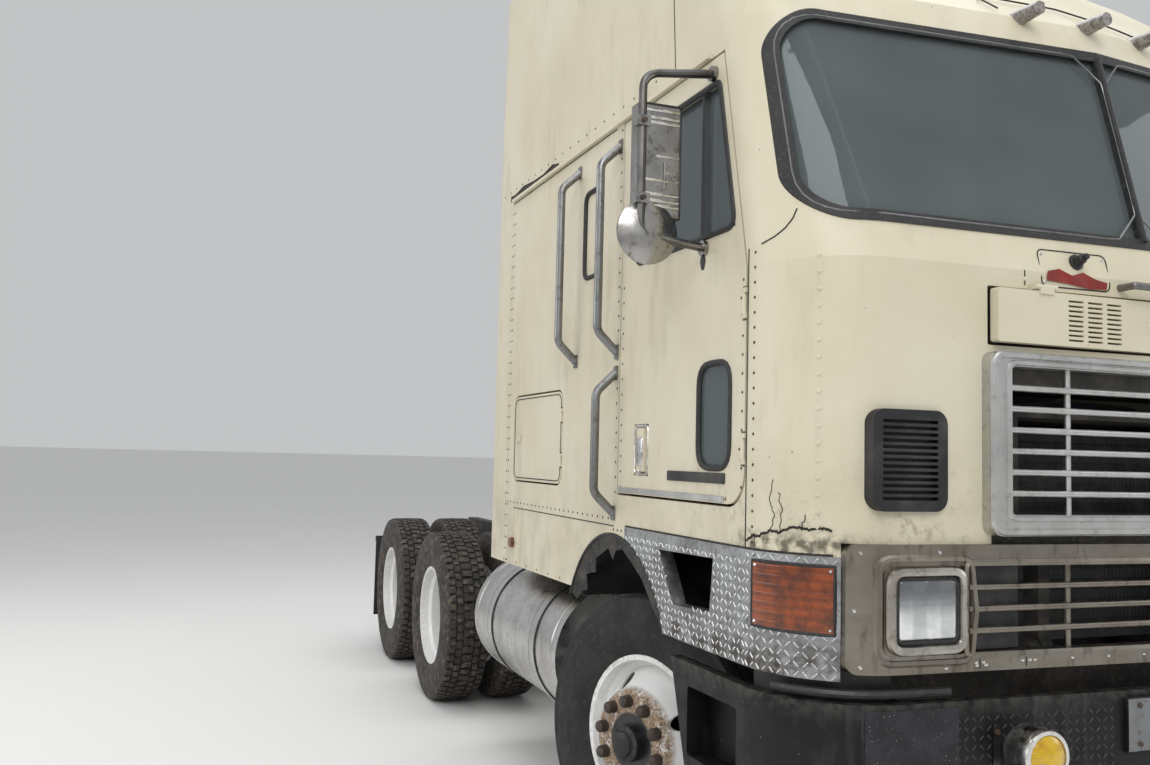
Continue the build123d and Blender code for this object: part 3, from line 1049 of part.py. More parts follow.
# Service flap over the grille, with groups of slots
FLAP_GAP = 8.0
FLAP_FRONT_Y = FACE_Y - 12.0
SLOT_COLUMNS_X = (155.0, 228.0, 301.0)
SLOT_ROWS = 9
flap = front_window(FLAP_HALF - FLAP_GAP, FLAP_LOW_Z + FLAP_GAP, FLAP_TOP_Z - FLAP_GAP, 8.0,
                    FLAP_FRONT_Y, FLAP_FRONT_Y + 30.0)
for side in SIDES:
    for x in SLOT_COLUMNS_X:
        for row in range(SLOT_ROWS):
            z = 1888.0 + 14.0 * row
            flap = flap - side_block(side, x - 28.0 + 18.0, x + 28.0 + 18.0, -1400.0, -1200.0, z, z + 6.0)
for x in FLAP_HINGES_X:
    plane = Plane(origin=(x, FLAP_HINGE_Y, FLAP_HINGE_Z), x_dir=(0, -1, 0), z_dir=(1, 0, 0))
    flap = flap + hinge_barrel(plane, FLAP_HINGE_HALF, FLAP_LEAF)
save("service_flap", flap)

# Coupling plate on its brackets
FIFTH_Y = 3480.0
FIFTH_HALF = 450.0
FIFTH_Z0 = 1165.0
FIFTH_Z1 = 1205.0
FIFTH_PIN_Z = 1110.0
FIFTH_BORE_R = 25.5
FIFTH_RAMP_Y = FIFTH_Y + 60.0
FIFTH_BRACKET_X0 = 330.0
FIFTH_BRACKET_X1 = 372.0
plate = rod((0, FIFTH_Y, FIFTH_Z0), (0, FIFTH_Y, FIFTH_Z1), FIFTH_HALF)
plate = plate + side_profile([(FIFTH_RAMP_Y, FIFTH_Z1), (FIFTH_Y + 520.0, FIFTH_Z1 - 60.0),
                              (FIFTH_Y + 520.0, FIFTH_Z0 - 60.0), (FIFTH_RAMP_Y, FIFTH_Z0)], -300.0, 300.0)
throat = Pos(0, 0, FIFTH_Z0 - 100.0) * extrude(make_face(Polyline(
    (0, FIFTH_Y + 60.0), (200.0, FIFTH_Y + 600.0), (-200.0, FIFTH_Y + 600.0), close=True)), amount=200.0)
plate = plate - throat
for side in SIDES:
    ear = side_block(side, FIFTH_BRACKET_X0, FIFTH_BRACKET_X1, FIFTH_Y - 60.0, FIFTH_Y + 60.0, FIFTH_PIN_Z, FIFTH_Z0 + 5.0)
    ear = ear + drum(side * FIFTH_BRACKET_X0, side * FIFTH_BRACKET_X1, FIFTH_Y, FIFTH_PIN_Z, 45.0)
    ear = ear - drum(side * (FIFTH_BRACKET_X0 - 5), side * (FIFTH_BRACKET_X1 + 5), FIFTH_Y, FIFTH_PIN_Z, 20.4)
    plate = plate + ear
plate = plate - rod((0, FIFTH_Y, FIFTH_Z0 - 5.0), (0, FIFTH_Y, FIFTH_Z1 + 5.0), FIFTH_BORE_R)
save("fifth_wheel", plate)

mount = block(-400.0, 400.0, FIFTH_Y - 330.0, FIFTH_Y + 330.0, RAIL_Z1 + SEAT_GAP, RAIL_Z1 + 14.0)
for side in SIDES:
    for x0, x1 in ((282.0, 322.0), (380.0, 420.0)):
        stand = side_profile([(FIFTH_Y - 120.0, RAIL_Z1 + 10.0), (FIFTH_Y + 120.0, RAIL_Z1 + 10.0),
                              (FIFTH_Y + 40.0, FIFTH_PIN_Z + 35.0), (FIFTH_Y - 40.0, FIFTH_PIN_Z + 35.0)],
                             side * x0, side * x1)
        mount = mount + stand
    mount = mount + drum(side * 282.0, side * 420.0, FIFTH_Y, FIFTH_PIN_Z, 20.0)
save("fifth_wheel_mount", mount)
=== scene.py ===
import json
import math
import random

import bmesh
import bpy
from mathutils import Matrix, Vector

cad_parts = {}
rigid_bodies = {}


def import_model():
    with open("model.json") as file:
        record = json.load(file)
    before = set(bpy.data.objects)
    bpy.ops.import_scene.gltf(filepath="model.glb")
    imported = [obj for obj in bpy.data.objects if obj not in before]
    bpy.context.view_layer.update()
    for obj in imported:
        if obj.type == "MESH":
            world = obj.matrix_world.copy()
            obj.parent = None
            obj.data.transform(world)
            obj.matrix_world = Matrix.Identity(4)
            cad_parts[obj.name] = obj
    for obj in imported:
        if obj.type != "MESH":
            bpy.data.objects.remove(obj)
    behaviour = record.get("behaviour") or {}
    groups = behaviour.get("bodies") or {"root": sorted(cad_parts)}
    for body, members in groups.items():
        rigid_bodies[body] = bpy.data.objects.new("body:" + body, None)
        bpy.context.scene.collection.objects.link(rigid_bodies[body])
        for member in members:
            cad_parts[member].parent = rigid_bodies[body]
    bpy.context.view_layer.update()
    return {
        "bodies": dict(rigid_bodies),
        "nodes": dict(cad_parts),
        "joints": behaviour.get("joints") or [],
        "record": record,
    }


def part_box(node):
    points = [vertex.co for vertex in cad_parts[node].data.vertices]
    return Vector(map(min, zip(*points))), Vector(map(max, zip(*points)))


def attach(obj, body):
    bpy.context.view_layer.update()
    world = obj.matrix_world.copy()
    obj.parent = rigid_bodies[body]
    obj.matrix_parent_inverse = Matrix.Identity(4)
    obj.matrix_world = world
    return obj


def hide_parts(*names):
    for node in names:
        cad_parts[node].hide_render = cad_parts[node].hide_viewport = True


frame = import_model()
NODES = frame["nodes"]

# Places below are in metres, with y measured from the front axle
MIDDLE_Y = 1.740
SIDES = ((-1, "right"), (1, "left"))
AXLE_Z = 0.515
SKIN_X = 1.190
FRONT_DIRT_Y = -0.75 - MIDDLE_Y
DICE = random.Random(7)
WAVE_MM, COARSER = 314.159, 5.0


def P(x, y, z):
    return Vector((x, y - MIDDLE_Y, z))


def linear(code):
    """A hex colour in linear light."""
    parts = [int(code[i:i + 2], 16) / 255 for i in (0, 2, 4)]
    return tuple(v / 12.92 if v <= 0.04045 else ((v + 0.055) / 1.055) ** 2.4 for v in parts) + (1.0,)


def add(tree, kind, sockets=None, **settings):
    """One shader node with its settings, and its sockets set to numbers, colours or links."""
    made = tree.nodes.new("ShaderNode" + kind)
    for name, value in settings.items():
        setattr(made, name, value)
    for name, value in (sockets or {}).items():
        if isinstance(value, bpy.types.NodeSocket):
            tree.links.new(value, made.inputs[name])
        else:
            made.inputs[name].default_value = value
    return made


class Surface:
    """A finish in the making, laid out in metres on the object's own coordinates."""

    def __init__(self, name, colour, roughness, metallic=0.0, **more):
        self.material = bpy.data.materials.new(name)
        self.material.use_nodes = True
        self.tree = self.material.node_tree
        self.shader = self.tree.nodes["Principled BSDF"]
        self.place = add(self.tree, "TexCoord").outputs["Object"]
        self.colour = linear(colour)
        self.roughness = roughness
        self.bump = None
        self.put("Metallic", metallic)
        for key, value in more.items():
            self.put(key.replace("_", " "), value)

    def put(self, socket, value):
        if isinstance(value, bpy.types.NodeSocket):
            self.tree.links.new(value, self.shader.inputs[socket])
        else:
            self.shader.inputs[socket].default_value = value

    def ramp(self, value, low, high):
        return add(self.tree, "MapRange", {0: value, 1: low, 2: high}, clamp=True).outputs[0]

    def spots(self, size_mm, low, high, detail=4.0, stretch=(1, 1, 1), seed=0.0):
        """Patches of about that size: 0 outside them, 1 inside."""
        scale = tuple(1000.0 / size_mm * s for s in stretch)
        mapped = add(self.tree, "Mapping",
                     {"Vector": self.place, "Location": (seed, seed * 2, seed * 3), "Scale": scale})
        noise = add(self.tree, "TexNoise",
                    {"Vector": mapped.outputs[0], "Scale": 1.0, "Detail": detail, "Roughness": 0.6})
        return self.ramp(noise.outputs[0], low, high)

    def flecks(self, size_mm, radius):
        """Small round specks, one to a cell of that size."""
        cells = add(self.tree, "TexVoronoi", {"Vector": self.place, "Scale": 1000.0 / size_mm})
        return self.ramp(cells.outputs["Distance"], radius, radius * 0.5)

    def waves(self, size_mm, axis, low=0.35, high=0.65):
        """Straight ridges across the axis, drawn five times as coarse as their real size to show."""
        made = add(self.tree, "TexWave", {"Vector": self.place, "Scale": WAVE_MM / size_mm / COARSER},
                   bands_direction=axis)
        return self.ramp(made.outputs[1], low, high)

    def part(self, axis):
        return add(self.tree, "SeparateXYZ", {0: self.place}).outputs[axis]

    def along(self, axis, low, high):
        """Rises from 0 to 1 between two places on one of the object's axes."""
        return self.ramp(self.part(axis), low, high)

    def math(self, operation, a, b=0.0):
        return add(self.tree, "Math", {0: a, 1: b}, operation=operation).outputs[0]

    def times(self, *factors):
        made = factors[0]
        for factor in factors[1:]:
            made = self.math("MULTIPLY", made, factor)
        return made

    def tint(self, colour, *factors):
        """The colour laid on where every factor is high."""
        made = add(self.tree, "Mix", {0: self.times(*factors), 6: self.colour, 7: linear(colour)},
                   data_type="RGBA")
        self.colour = made.outputs[2]
        return self

    def dull(self, factor, roughness):
        made = add(self.tree, "Mix", {0: factor, 2: self.roughness, 3: roughness}, data_type="FLOAT")
        self.roughness = made.outputs[0]
        return self

    def raised(self, height, mm, strength=1.0):
        sockets = {"Height": height, "Distance": mm / 1000.0, "Strength": strength}
        if self.bump is not None:
            sockets["Normal"] = self.bump
        self.bump = add(self.tree, "Bump", sockets).outputs[0]
        return self

    def done(self):
        self.put("Base Color", self.colour)
        self.put("Roughness", self.roughness)
        if self.bump is not None:
            self.put("Normal", self.bump)
        return self.material


def cream_paint():
    # Faded cream enamel: chalky patches, faint grey runs, road dirt low at the front and rust specks
    s = Surface("weathered_cream_enamel", "CEC6AE", 0.42, Coat_Weight=0.15, Coat_Roughness=0.3)
    s.tint("C4BBA0", s.spots(420, 0.42, 0.68), 0.6)
    s.tint("D6D0BC", s.spots(700, 0.44, 0.62, seed=12), 0.5)
    s.tint("A39A80", s.spots(95, 0.5, 0.76, stretch=(1, 1, 0.18)), s.spots(700, 0.46, 0.62, seed=3), 0.6)
    low = s.along(2, 1.62, 1.20)
    front = s.along(1, FRONT_DIRT_Y + 0.5, FRONT_DIRT_Y)
    s.tint("A69D86", low, s.spots(130, 0.40, 0.70, seed=5), 0.5)
    s.tint("7A6F5C", low, front, s.spots(26, 0.52, 0.66, seed=2), s.spots(170, 0.44, 0.6, seed=21), 0.8)
    corner = s.times(s.along(1, FRONT_DIRT_Y - 0.15, FRONT_DIRT_Y - 0.22),
                     s.ramp(s.math("ABSOLUTE", s.part(0)), 0.99, 1.04))
    s.tint("4C4336", corner, s.along(2, 1.345, 1.315), s.spots(34, 0.42, 0.58, seed=17), 0.85)
    s.tint("5E3B22", s.flecks(62, 0.05), s.spots(210, 0.5, 0.62, seed=9))
    s.tint("3E3428", s.flecks(110, 0.03), 0.8)
    s.dull(s.spots(160, 0.4, 0.7, seed=4), 0.6)
    s.raised(s.spots(330, 0.2, 0.8, detail=1.0), 1.4)
    return s.done()


def black_paint(name, base, mud, amount, roughness=0.6):
    # Black chassis paint under dried mud and road dust
    s = Surface(name, base, roughness)
    s.tint(mud, s.spots(120, 0.38, 0.66), amount, 0.7)
    s.tint("5F5346", s.spots(26, 0.52, 0.72, seed=4), amount, 0.6)
    s.dull(s.spots(60, 0.4, 0.7), 0.85)
    s.raised(s.spots(14, 0.3, 0.8), 0.8)
    return s.done()


def grit_sheet():
    # Anti-slip sheet: coarse black grit with pale broken grains, and rust specks
    s = Surface("anti_slip_grit", "232427", 0.9)
    s.tint("34353A", s.spots(70, 0.42, 0.62), 0.6)
    s.tint("A9A7A2", s.flecks(9, 0.16), s.spots(40, 0.46, 0.6, seed=3))
    s.tint("5E4636", s.flecks(90, 0.10), 0.8)
    s.raised(s.spots(2.5, 0.3, 0.7), 0.8)
    return s.done()


def bumper_paint():
    # Satin black steel: long pale scuffs, dust on the upper edge, chipped spots and faint dents
    s = Surface("scuffed_black_bumper", "0A0B0C", 0.46, Specular_IOR_Level=0.3)
    s.tint("4C4C4D", s.spots(70, 0.55, 0.66, stretch=(1, 1, 0.08), seed=2), s.spots(260, 0.46, 0.6, seed=6),
           0.4)
    s.tint("403E39", s.along(2, 0.85, 0.905), s.spots(30, 0.4, 0.6))
    s.tint("8E8B86", s.flecks(44, 0.045))
    s.tint("25231F", s.spots(300, 0.4, 0.62, seed=11), 0.3)
    s.dull(s.spots(80, 0.42, 0.62), 0.62)
    s.raised(s.spots(180, 0.2, 0.8, detail=1.0), 2.0)
    return s.done()


def aluminium(name, base, dirt, roughness, amount=0.5, grain=None):
    # Bare aluminium: cloudy oxide, dirt runs, and a fine rolled or brushed grain
    s = Surface(name, base, roughness, metallic=1.0)
    s.tint(dirt, s.spots(170, 0.42, 0.66, stretch=(1, 1, 0.5)), amount)
    s.tint("4E463C", s.spots(24, 0.55, 0.72, seed=4), amount)
    s.dull(s.spots(90, 0.38, 0.7, seed=2), min(0.8, roughness + 0.22))
    s.raised(s.spots(3.0, 0.3, 0.7, detail=2.0, stretch=grain or (1, 1, 1)), 0.06)
    return s.done()


def tread_plate():
    # Rolled tread plate: dull dirty ground between bright rubbed lozenges
    s = Surface("dull_tread_plate", "ABADAE", 0.44, metallic=1.0)
    s.tint("6D6B66", s.spots(170, 0.4, 0.66), 0.7)
    s.tint("4C4740", s.spots(18, 0.5, 0.7, seed=4), 0.6)
    s.tint("57504A", s.along(2, 1.10, 0.98), s.spots(60, 0.4, 0.6, seed=7))
    s.dull(s.spots(70, 0.4, 0.7), 0.62)
    return s.done()


def chrome():
    # Chromed steel, dulled in patches and pitted
    s = Surface("pitted_chrome", "DAD9D7", 0.16, metallic=1.0)
    s.tint("8D857A", s.spots(60, 0.5, 0.7), 0.6)
    s.tint("54483C", s.flecks(18, 0.07))
    s.dull(s.spots(40, 0.42, 0.66), 0.36)
    s.raised(s.spots(38, 0.3, 0.7, detail=2.0), 0.5)
    return s.done()


def stainless():
    # Stained stainless pressings: a brown-grey film with runs
    s = Surface("stained_stainless", "8E887E", 0.30, metallic=1.0)
    s.tint("7C7469", s.spots(200, 0.4, 0.64, stretch=(1, 1, 2.0)), 0.7)
    s.tint("554C42", s.spots(30, 0.54, 0.7, stretch=(1, 1, 0.3), seed=3), 0.6)
    s.dull(s.spots(60, 0.4, 0.7), 0.48)
    s.raised(s.spots(90, 0.2, 0.8, detail=1.0), 0.9)
    return s.done()


def glazing():
    # Tinted safety glass: see-through, a mirror at a slant, with a film of dust
    s = Surface("tinted_glass", "DDE3E4", 0.02, metallic=1.0)
    clear = add(s.tree, "BsdfTransparent", {"Color": linear("B4BDB9")})
    dust = add(s.tree, "BsdfDiffuse", {"Color": linear("9AA3A6")})
    slant = add(s.tree, "Fresnel", {"IOR": 1.5}).outputs[0]
    shine = add(s.tree, "MixShader", {0: slant, 1: clear.outputs[0], 2: s.shader.outputs[0]})
    film = s.math("ADD", s.times(s.spots(480, 0.36, 0.72, detail=2.0), 0.08), 0.19)
    dusty = add(s.tree, "MixShader", {0: film, 1: shine.outputs[0], 2: dust.outputs[0]})
    s.tree.links.new(dusty.outputs[0], s.tree.nodes["Material Output"].inputs["Surface"])
    return s.done()


def rubber(name, base, roughness=0.72, dust="4B4640", amount=0.5):
    # Perished rubber: greyed and dusty, with fine cracks
    s = Surface(name, base, roughness)
    s.tint(dust, s.spots(70, 0.42, 0.7), amount)
    s.tint("6B655C", s.spots(9, 0.55, 0.7, seed=5), amount)
    s.raised(s.spots(5, 0.3, 0.7), 0.25)
    return s.done()


def tyre_rubber(name, base, mud, amount):
    # Tyre rubber: dried mud on the tread and shoulders, grey dusty walls
    s = Surface(name, base, 0.8)
    s.tint("3A3734", s.spots(130, 0.36, 0.62), amount)
    s.tint(mud, s.spots(34, 0.5, 0.66, seed=3), amount)
    s.raised(s.spots(7, 0.3, 0.8), 0.4)
    return s.done()


def lens(name, base, deep, glow=0.35):
    # Ribbed moulded lens over a dark lamp body, crazed and dirty
    s = Surface(name, base, 0.22, Coat_Weight=0.6, Coat_Roughness=0.12, Transmission_Weight=glow)
    s.tint(deep, s.spots(55, 0.4, 0.66))
    s.tint("A08A70", s.spots(12, 0.56, 0.7, seed=3), 0.5)
    s.raised(s.waves(5.0, "Z"), 0.5)
    return s.done()


def marker_finish():
    # Amber corner and side lenses below; the brow housings above are bare greyed plastic
    s = Surface("amber_and_bare_housing", "8E3E04", 0.22, Coat_Weight=0.6, Coat_Roughness=0.12)
    s.tint("5A2503", s.spots(60, 0.42, 0.62))
    s.tint("3A1606", s.spots(18, 0.54, 0.68, seed=3), 0.5)
    s.tint("431903", s.waves(5.0, "Z"), 0.35)
    # Pale specks painted as glints on the amber lenses
    s.tint("A06A3C", s.flecks(34, 0.08), 0.5)
    s.tint("8D8783", s.along(2, 2.0, 2.01))
    s.tint("5A5450", s.along(2, 2.0, 2.01), s.spots(16, 0.44, 0.62))
    s.raised(s.times(s.waves(5.0, "Z"), s.along(2, 2.01, 2.0)), 0.5)
    return s.done()


def lamp_glass():
    # Clear fluted headlamp glass, silvered behind; a painted reflection darkens it towards the top and
    # leaves it bright lower down, where the bowl shows
    s = Surface("fluted_lamp_glass", "E4E7E7", 0.08, metallic=0.75, Coat_Weight=1.0, Coat_Roughness=0.03)
    s.tint("A9ACAC", s.spots(40, 0.4, 0.7), 0.5)
    # Painted reflection: darker towards the top of the glass
    s.tint("6F7374", s.along(2, 1.12, 1.20))
    s.tint("8B8F90", s.waves(18.0, "X"), 0.35)
    s.raised(s.waves(18.0, "X"), 1.6)
    s.raised(s.waves(30.0, "Z"), 0.8)
    return s.done()


def woven(name, base, worn):
    # Coarse woven seat cloth, rubbed pale and stained
    s = Surface(name, base, 0.92, Sheen_Weight=0.25)
    s.tint(worn, s.spots(110, 0.42, 0.66))
    s.raised(s.times(s.waves(2.6, "X"), s.waves(2.6, "Z")), 0.5)
    return s.done()


def plastic(name, base, dust, roughness=0.55):
    # Grained moulded plastic, dusty
    s = Surface(name, base, roughness)
    s.tint(dust, s.spots(140, 0.42, 0.66), 0.6)
    s.raised(s.spots(2.4, 0.3, 0.7), 0.15)
    return s.done()


def fins():
    # Radiator core: fine upright tubes and crimped fins, oily dust between them
    s = Surface("radiator_fins", "26282A", 0.5, metallic=0.4)
    s.tint("101112", s.waves(12.0, "Z"))
    s.tint("4A443C", s.spots(80, 0.45, 0.7), 0.5)
    s.raised(s.waves(12.0, "Z"), 1.5)
    s.raised(s.waves(3.2, "X"), 0.6)
    return s.done()


def cast_iron():
    # Cast engine block, painted long ago, oily
    s = Surface("oily_cast_iron", "3E4042", 0.5, metallic=0.3)
    s.tint("25211D", s.spots(160, 0.4, 0.66))
    s.tint("6A4F3B", s.spots(40, 0.52, 0.7, seed=2), 0.7)
    s.raised(s.spots(5, 0.3, 0.7), 0.6)
    return s.done()


def wheel_paint(name, centre, turn):
    # White wheel enamel: a rust ring round the studs, a black oily hub, grime in the well
    s = Surface(name, "E4E4E2", 0.34, Coat_Weight=0.25, Coat_Roughness=0.2)
    sockets = {"Vector": s.place, "Location": tuple(centre), "Rotation": (0, 0, turn)}
    centred = add(s.tree, "Mapping", sockets, vector_type="TEXTURE")
    parts = add(s.tree, "SeparateXYZ", {0: centred.outputs[0]})
    squares = s.math("ADD", s.math("POWER", s.math("ABSOLUTE", parts.outputs[1]), 2.0),
                     s.math("POWER", s.math("ABSOLUTE", parts.outputs[2]), 2.0))
    radius = s.math("SQRT", squares)
    s.tint("BDB8B0", s.spots(120, 0.42, 0.7), 0.2)
    s.tint("9A948B", s.ramp(radius, 0.270, 0.292), s.spots(22, 0.46, 0.62), 0.6)
    ring = s.times(s.ramp(radius, 0.194, 0.178), s.ramp(radius, 0.094, 0.102))
    s.tint("9C8369", ring, s.spots(30, 0.34, 0.52))
    s.tint("584233", ring, s.spots(9, 0.44, 0.6, seed=4))
    s.tint("BBA58C", ring, s.spots(4, 0.5, 0.62, seed=6))
    s.tint("17171A", s.ramp(radius, 0.108, 0.098))
    s.dull(ring, 0.85)
    s.raised(s.times(ring, s.spots(6, 0.3, 0.7)), 0.5)
    return s.done()


def plain_floor():
    # Pale studio floor with a barely uneven tone
    s = Surface("pale_floor", "E2E1DE", 0.9)
    s.tint("D8D7D4", s.spots(2600, 0.3, 0.7), 0.25)
    return s.done()


CREAM = cream_paint()
CHASSIS = black_paint("muddy_chassis_black", "1B1A19", "4A4036", 0.75)
BUMPER = bumper_paint()
TANK_METAL = aluminium("polished_tank_aluminium", "C4C3C1", "8E877D", 0.24, grain=(0.1, 1, 1))
TREAD_METAL = tread_plate()
LOZENGE_METAL = aluminium("rubbed_lozenge_aluminium", "D6D8DA", "8B8A86", 0.26, amount=0.35)
FRAME_METAL = aluminium("satin_grille_aluminium", "C8C8C6", "9A9791", 0.36, amount=0.3)
CHROME = chrome()
STAINLESS = stainless()
WORN_CHROME = aluminium("worn_mirror_chrome", "A8A6A3", "6E6A64", 0.16, amount=0.7)
GLASS = glazing()
RUBBER = rubber("perished_black_rubber", "1C1D1E", 0.6, "34332F", 0.35)
FLAP_RUBBER = rubber("mudflap_rubber", "19191A", amount=0.8)
TYRE = tyre_rubber("front_tyre_rubber", "161617", "3E3A36", 0.35)
DRIVE_TYRE = tyre_rubber("muddy_drive_tyre_rubber", "2A2826", "665A4E", 0.9)
AMBER = marker_finish()
NUT_STEEL = black_paint("oily_nut_steel", "2B2725", "54402F", 0.8, 0.45)
ARM_STEEL = aluminium("worn_arm_steel", "6E6C69", "3A3734", 0.34, amount=0.9)
GRIT = grit_sheet()
SURROUND = aluminium("stained_lamp_surround", "B5B0A8", "7F786D", 0.24, amount=0.5)
BLANK_PLATE = aluminium("blank_plate_aluminium", "8E9092", "6B6B68", 0.5, amount=0.6)
RAISED_BLACK = black_paint("rubbed_black_lozenges", "2A2B2E", "3D3B37", 0.5, 0.4)
SMEAR = plastic("red_sealant", "8E2418", "5A1A12", 0.5)

RED = lens("red_ribbed_lens", "7E0D0A", "4D0605")
YELLOW = lens("yellow_fog_lens", "E6BE00", "C79400", 0.25)
LAMP_GLASS = lamp_glass()
CLOTH = woven("woven_seat_cloth", "3F424A", "5A5750")
DASH = plastic("grained_dash_plastic", "35332F", "6B655A")
BLACK_PLASTIC = plastic("black_moulded_plastic", "17181A", "4A4743")
MAT = plastic("rubber_floor_mat", "242322", "5B5247", 0.8)
FINS = fins()
IRON = cast_iron()
BOLT = black_paint("rusty_fastener", "3B2F27", "6B4A33", 0.9, 0.7)
# Dark sealer for real seams and joints, also used for painted shadow and shade in gaps and slots
SEAM_AND_SHADE_BLACK = rubber("seam_shadow_sealer", "1A1814", 0.8, "39352D", 0.6)
PALE_STEEL = aluminium("dull_tube_steel", "8C8D8E", "6C675F", 0.36, amount=0.6)
FLOOR_PAINT = plain_floor()

FINISHES = {
    "cream_paint": CREAM, "chassis_black": CHASSIS, "bumper_black": BUMPER, "engine_iron": IRON,
    "radiator_core": FINS, "polished_aluminium": TANK_METAL, "tread_aluminium": TREAD_METAL,
    "chrome_steel": CHROME, "window_glass": GLASS, "black_rubber": RUBBER, "black_plastic": BLACK_PLASTIC,
    "amber_lens": AMBER, "red_lens": RED, "lamp_glass": LAMP_GLASS, "fog_yellow": YELLOW,
    "seat_cloth": CLOTH, "dash_plastic": DASH, "floor_mat": MAT, "tyre_rubber": TYRE,
}


def finish_node(name, material):
    """Puts a finish in every slot of a node."""
    slots = NODES[name].data.materials
    if not slots:
        slots.append(material)
    for index in range(len(slots)):
        slots[index] = material


STEER = math.radians(19.2)
KINGPIN_X = 0.860
TRACK_X = 0.982
OUTER_X = 1.070
INNER_X = 0.716
DRIVE_Y = (2.895, 4.215)

# Wheel places: body, tyre node, rim node, centres of its tyres, turn about the upright
WHEELS = []
for side, label in SIDES:
    reach = side * (TRACK_X - KINGPIN_X)
    centre = P(side * KINGPIN_X + reach * math.cos(STEER), reach * math.sin(STEER), AXLE_Z)
    WHEELS.append(("wheel_front_" + label, "tyre_front_" + label, "rim_front_" + label, [centre], STEER))
    for index, y in enumerate(DRIVE_Y):
        name = f"{index + 1}_{label}"
        centres = [P(side * OUTER_X, y, AXLE_Z), P(side * INNER_X, y, AXLE_Z)]
        WHEELS.append(("wheels_drive_" + name, "tyres_drive_" + name, "rims_drive_" + name, centres, 0.0))

for part in frame["record"]["subparts"]:
    slot = part["material_slot"]
    if slot in FINISHES:
        finish_node(part["node"], FINISHES[slot])
for body, tyre_node, rim_node, centres, turn in WHEELS:
    finish_node(rim_node, wheel_paint("white_wheel_enamel_" + rim_node, centres[0], turn))
finish_node("upper_grille", FRAME_METAL)
finish_node("lower_grille", STAINLESS)
finish_node("grab_rails", PALE_STEEL)
finish_node("sleeper_windows", CREAM)
finish_node("headlamps", STAINLESS)
finish_node("fog_lamps", CHROME)
for side, label in SIDES:
    finish_node("mirror_" + label, WORN_CHROME)


# Small tools for new pieces
def piece(name, mesh, material, body, smooth=35.0):
    """A mesh made into a piece that moves with a body."""
    bmesh.ops.remove_doubles(mesh, verts=mesh.verts, dist=0.00001)
    bmesh.ops.recalc_face_normals(mesh, faces=mesh.faces)
    data = bpy.data.meshes.new(name)
    mesh.to_mesh(data)
    mesh.free()
    made = bpy.data.objects.new(name, data)
    bpy.context.scene.collection.objects.link(made)
    data.materials.append(material)
    if smooth:
        data.shade_smooth()
        data.set_sharp_from_angle(angle=math.radians(smooth))
    if body:
        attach(made, body)
    return made


def hit(node, start, way):
    """Where a straight line meets a node's surface, and the surface's direction there."""
    found, place, normal, _ = NODES[node].ray_cast(start, way)
    if not found:
        return None
    return place, normal if normal.dot(way) < 0 else -normal


def facing(normal):
    """Turns +Z to the normal, with X kept level."""
    return normal.to_track_quat("Z", "Y").to_matrix().to_4x4()


class Studs:
    """Many small domes, pads or screws gathered in one mesh."""

    def __init__(self):
        self.mesh = bmesh.new()

    def dome(self, place, normal, radius, proud, sides=8, rows=4):
        move = Matrix.Translation(place) @ facing(normal) @ Matrix.Diagonal((radius, radius, proud, 1.0))
        bmesh.ops.create_uvsphere(self.mesh, u_segments=sides, v_segments=rows, radius=1.0, matrix=move)

    def hexagon(self, place, normal, radius, proud, sides=6):
        move = Matrix.Translation(place + normal * proud / 2) @ facing(normal)
        bmesh.ops.create_cone(self.mesh, cap_ends=True, segments=sides, radius1=radius,
                              radius2=radius * 0.94, depth=proud, matrix=move)

    def bar(self, place, normal, along, length, width, proud):
        side = normal.cross(along).normalized()
        turn = Matrix((along.normalized(), side, normal)).transposed().to_4x4()
        move = Matrix.Translation(place) @ turn @ Matrix.Diagonal((length / 2, width / 2, proud, 1.0))
        bmesh.ops.create_uvsphere(self.mesh, u_segments=6, v_segments=4, radius=1.0, matrix=move)


def tube(mesh, points, radius, closed=False, sides=8):
    """A round bar or bead along a path, by a swept circle."""
    curve = bpy.data.curves.new("path", "CURVE")
    curve.dimensions = "3D"
    curve.bevel_depth = radius
    curve.bevel_resolution = max(0, sides // 4 - 1)
    curve.use_fill_caps = not closed
    spline = curve.splines.new("POLY")
    spline.points.add(len(points) - 1)
    for target, point in zip(spline.points, points):
        target.co = (*point, 1.0)
    spline.use_cyclic_u = closed
    holder = bpy.data.objects.new("path", curve)
    bpy.context.scene.collection.objects.link(holder)
    bpy.context.view_layer.update()
    swept = bpy.data.meshes.new_from_object(holder.evaluated_get(bpy.context.evaluated_depsgraph_get()))
    mesh.from_mesh(swept)
    bpy.data.objects.remove(holder)
    bpy.data.curves.remove(curve)
    bpy.data.meshes.remove(swept)


def rounded(points, radius, closed=False, steps=5):
    """The same path with each corner turned through an arc of that radius."""
    made = []
    count = len(points)
    for index, point in enumerate(points):
        if not closed and index in (0, count - 1):
            made.append(point)
            continue
        before = (points[index - 1] - point).normalized()
        after = (points[(index + 1) % count] - point).normalized()
        half = before.angle(after) / 2
        back = min(radius / math.tan(half), (points[index - 1] - point).length * 0.49,
                   (points[(index + 1) % count] - point).length * 0.49)
        start, end = point + before * back, point + after * back
        for step in range(steps + 1):
            t = step / steps
            made.append(start.lerp(point, t).lerp(point.lerp(end, t), t))
    return made


def side_loop(side, y0, y1, z0, z1, x):
    """Corners of an upright rectangle in a side plane."""
    return [P(side * x, y0, z0), P(side * x, y1, z0), P(side * x, y1, z1), P(side * x, y0, z1)]


def cast_line(node, start, end, way, count):
    """Points of a straight line seen along a direction, laid on a node's surface."""
    made = []
    for index in range(count):
        found = hit(node, start.lerp(end, index / (count - 1)), way)
        if found:
            made.append(found[0])
    return made


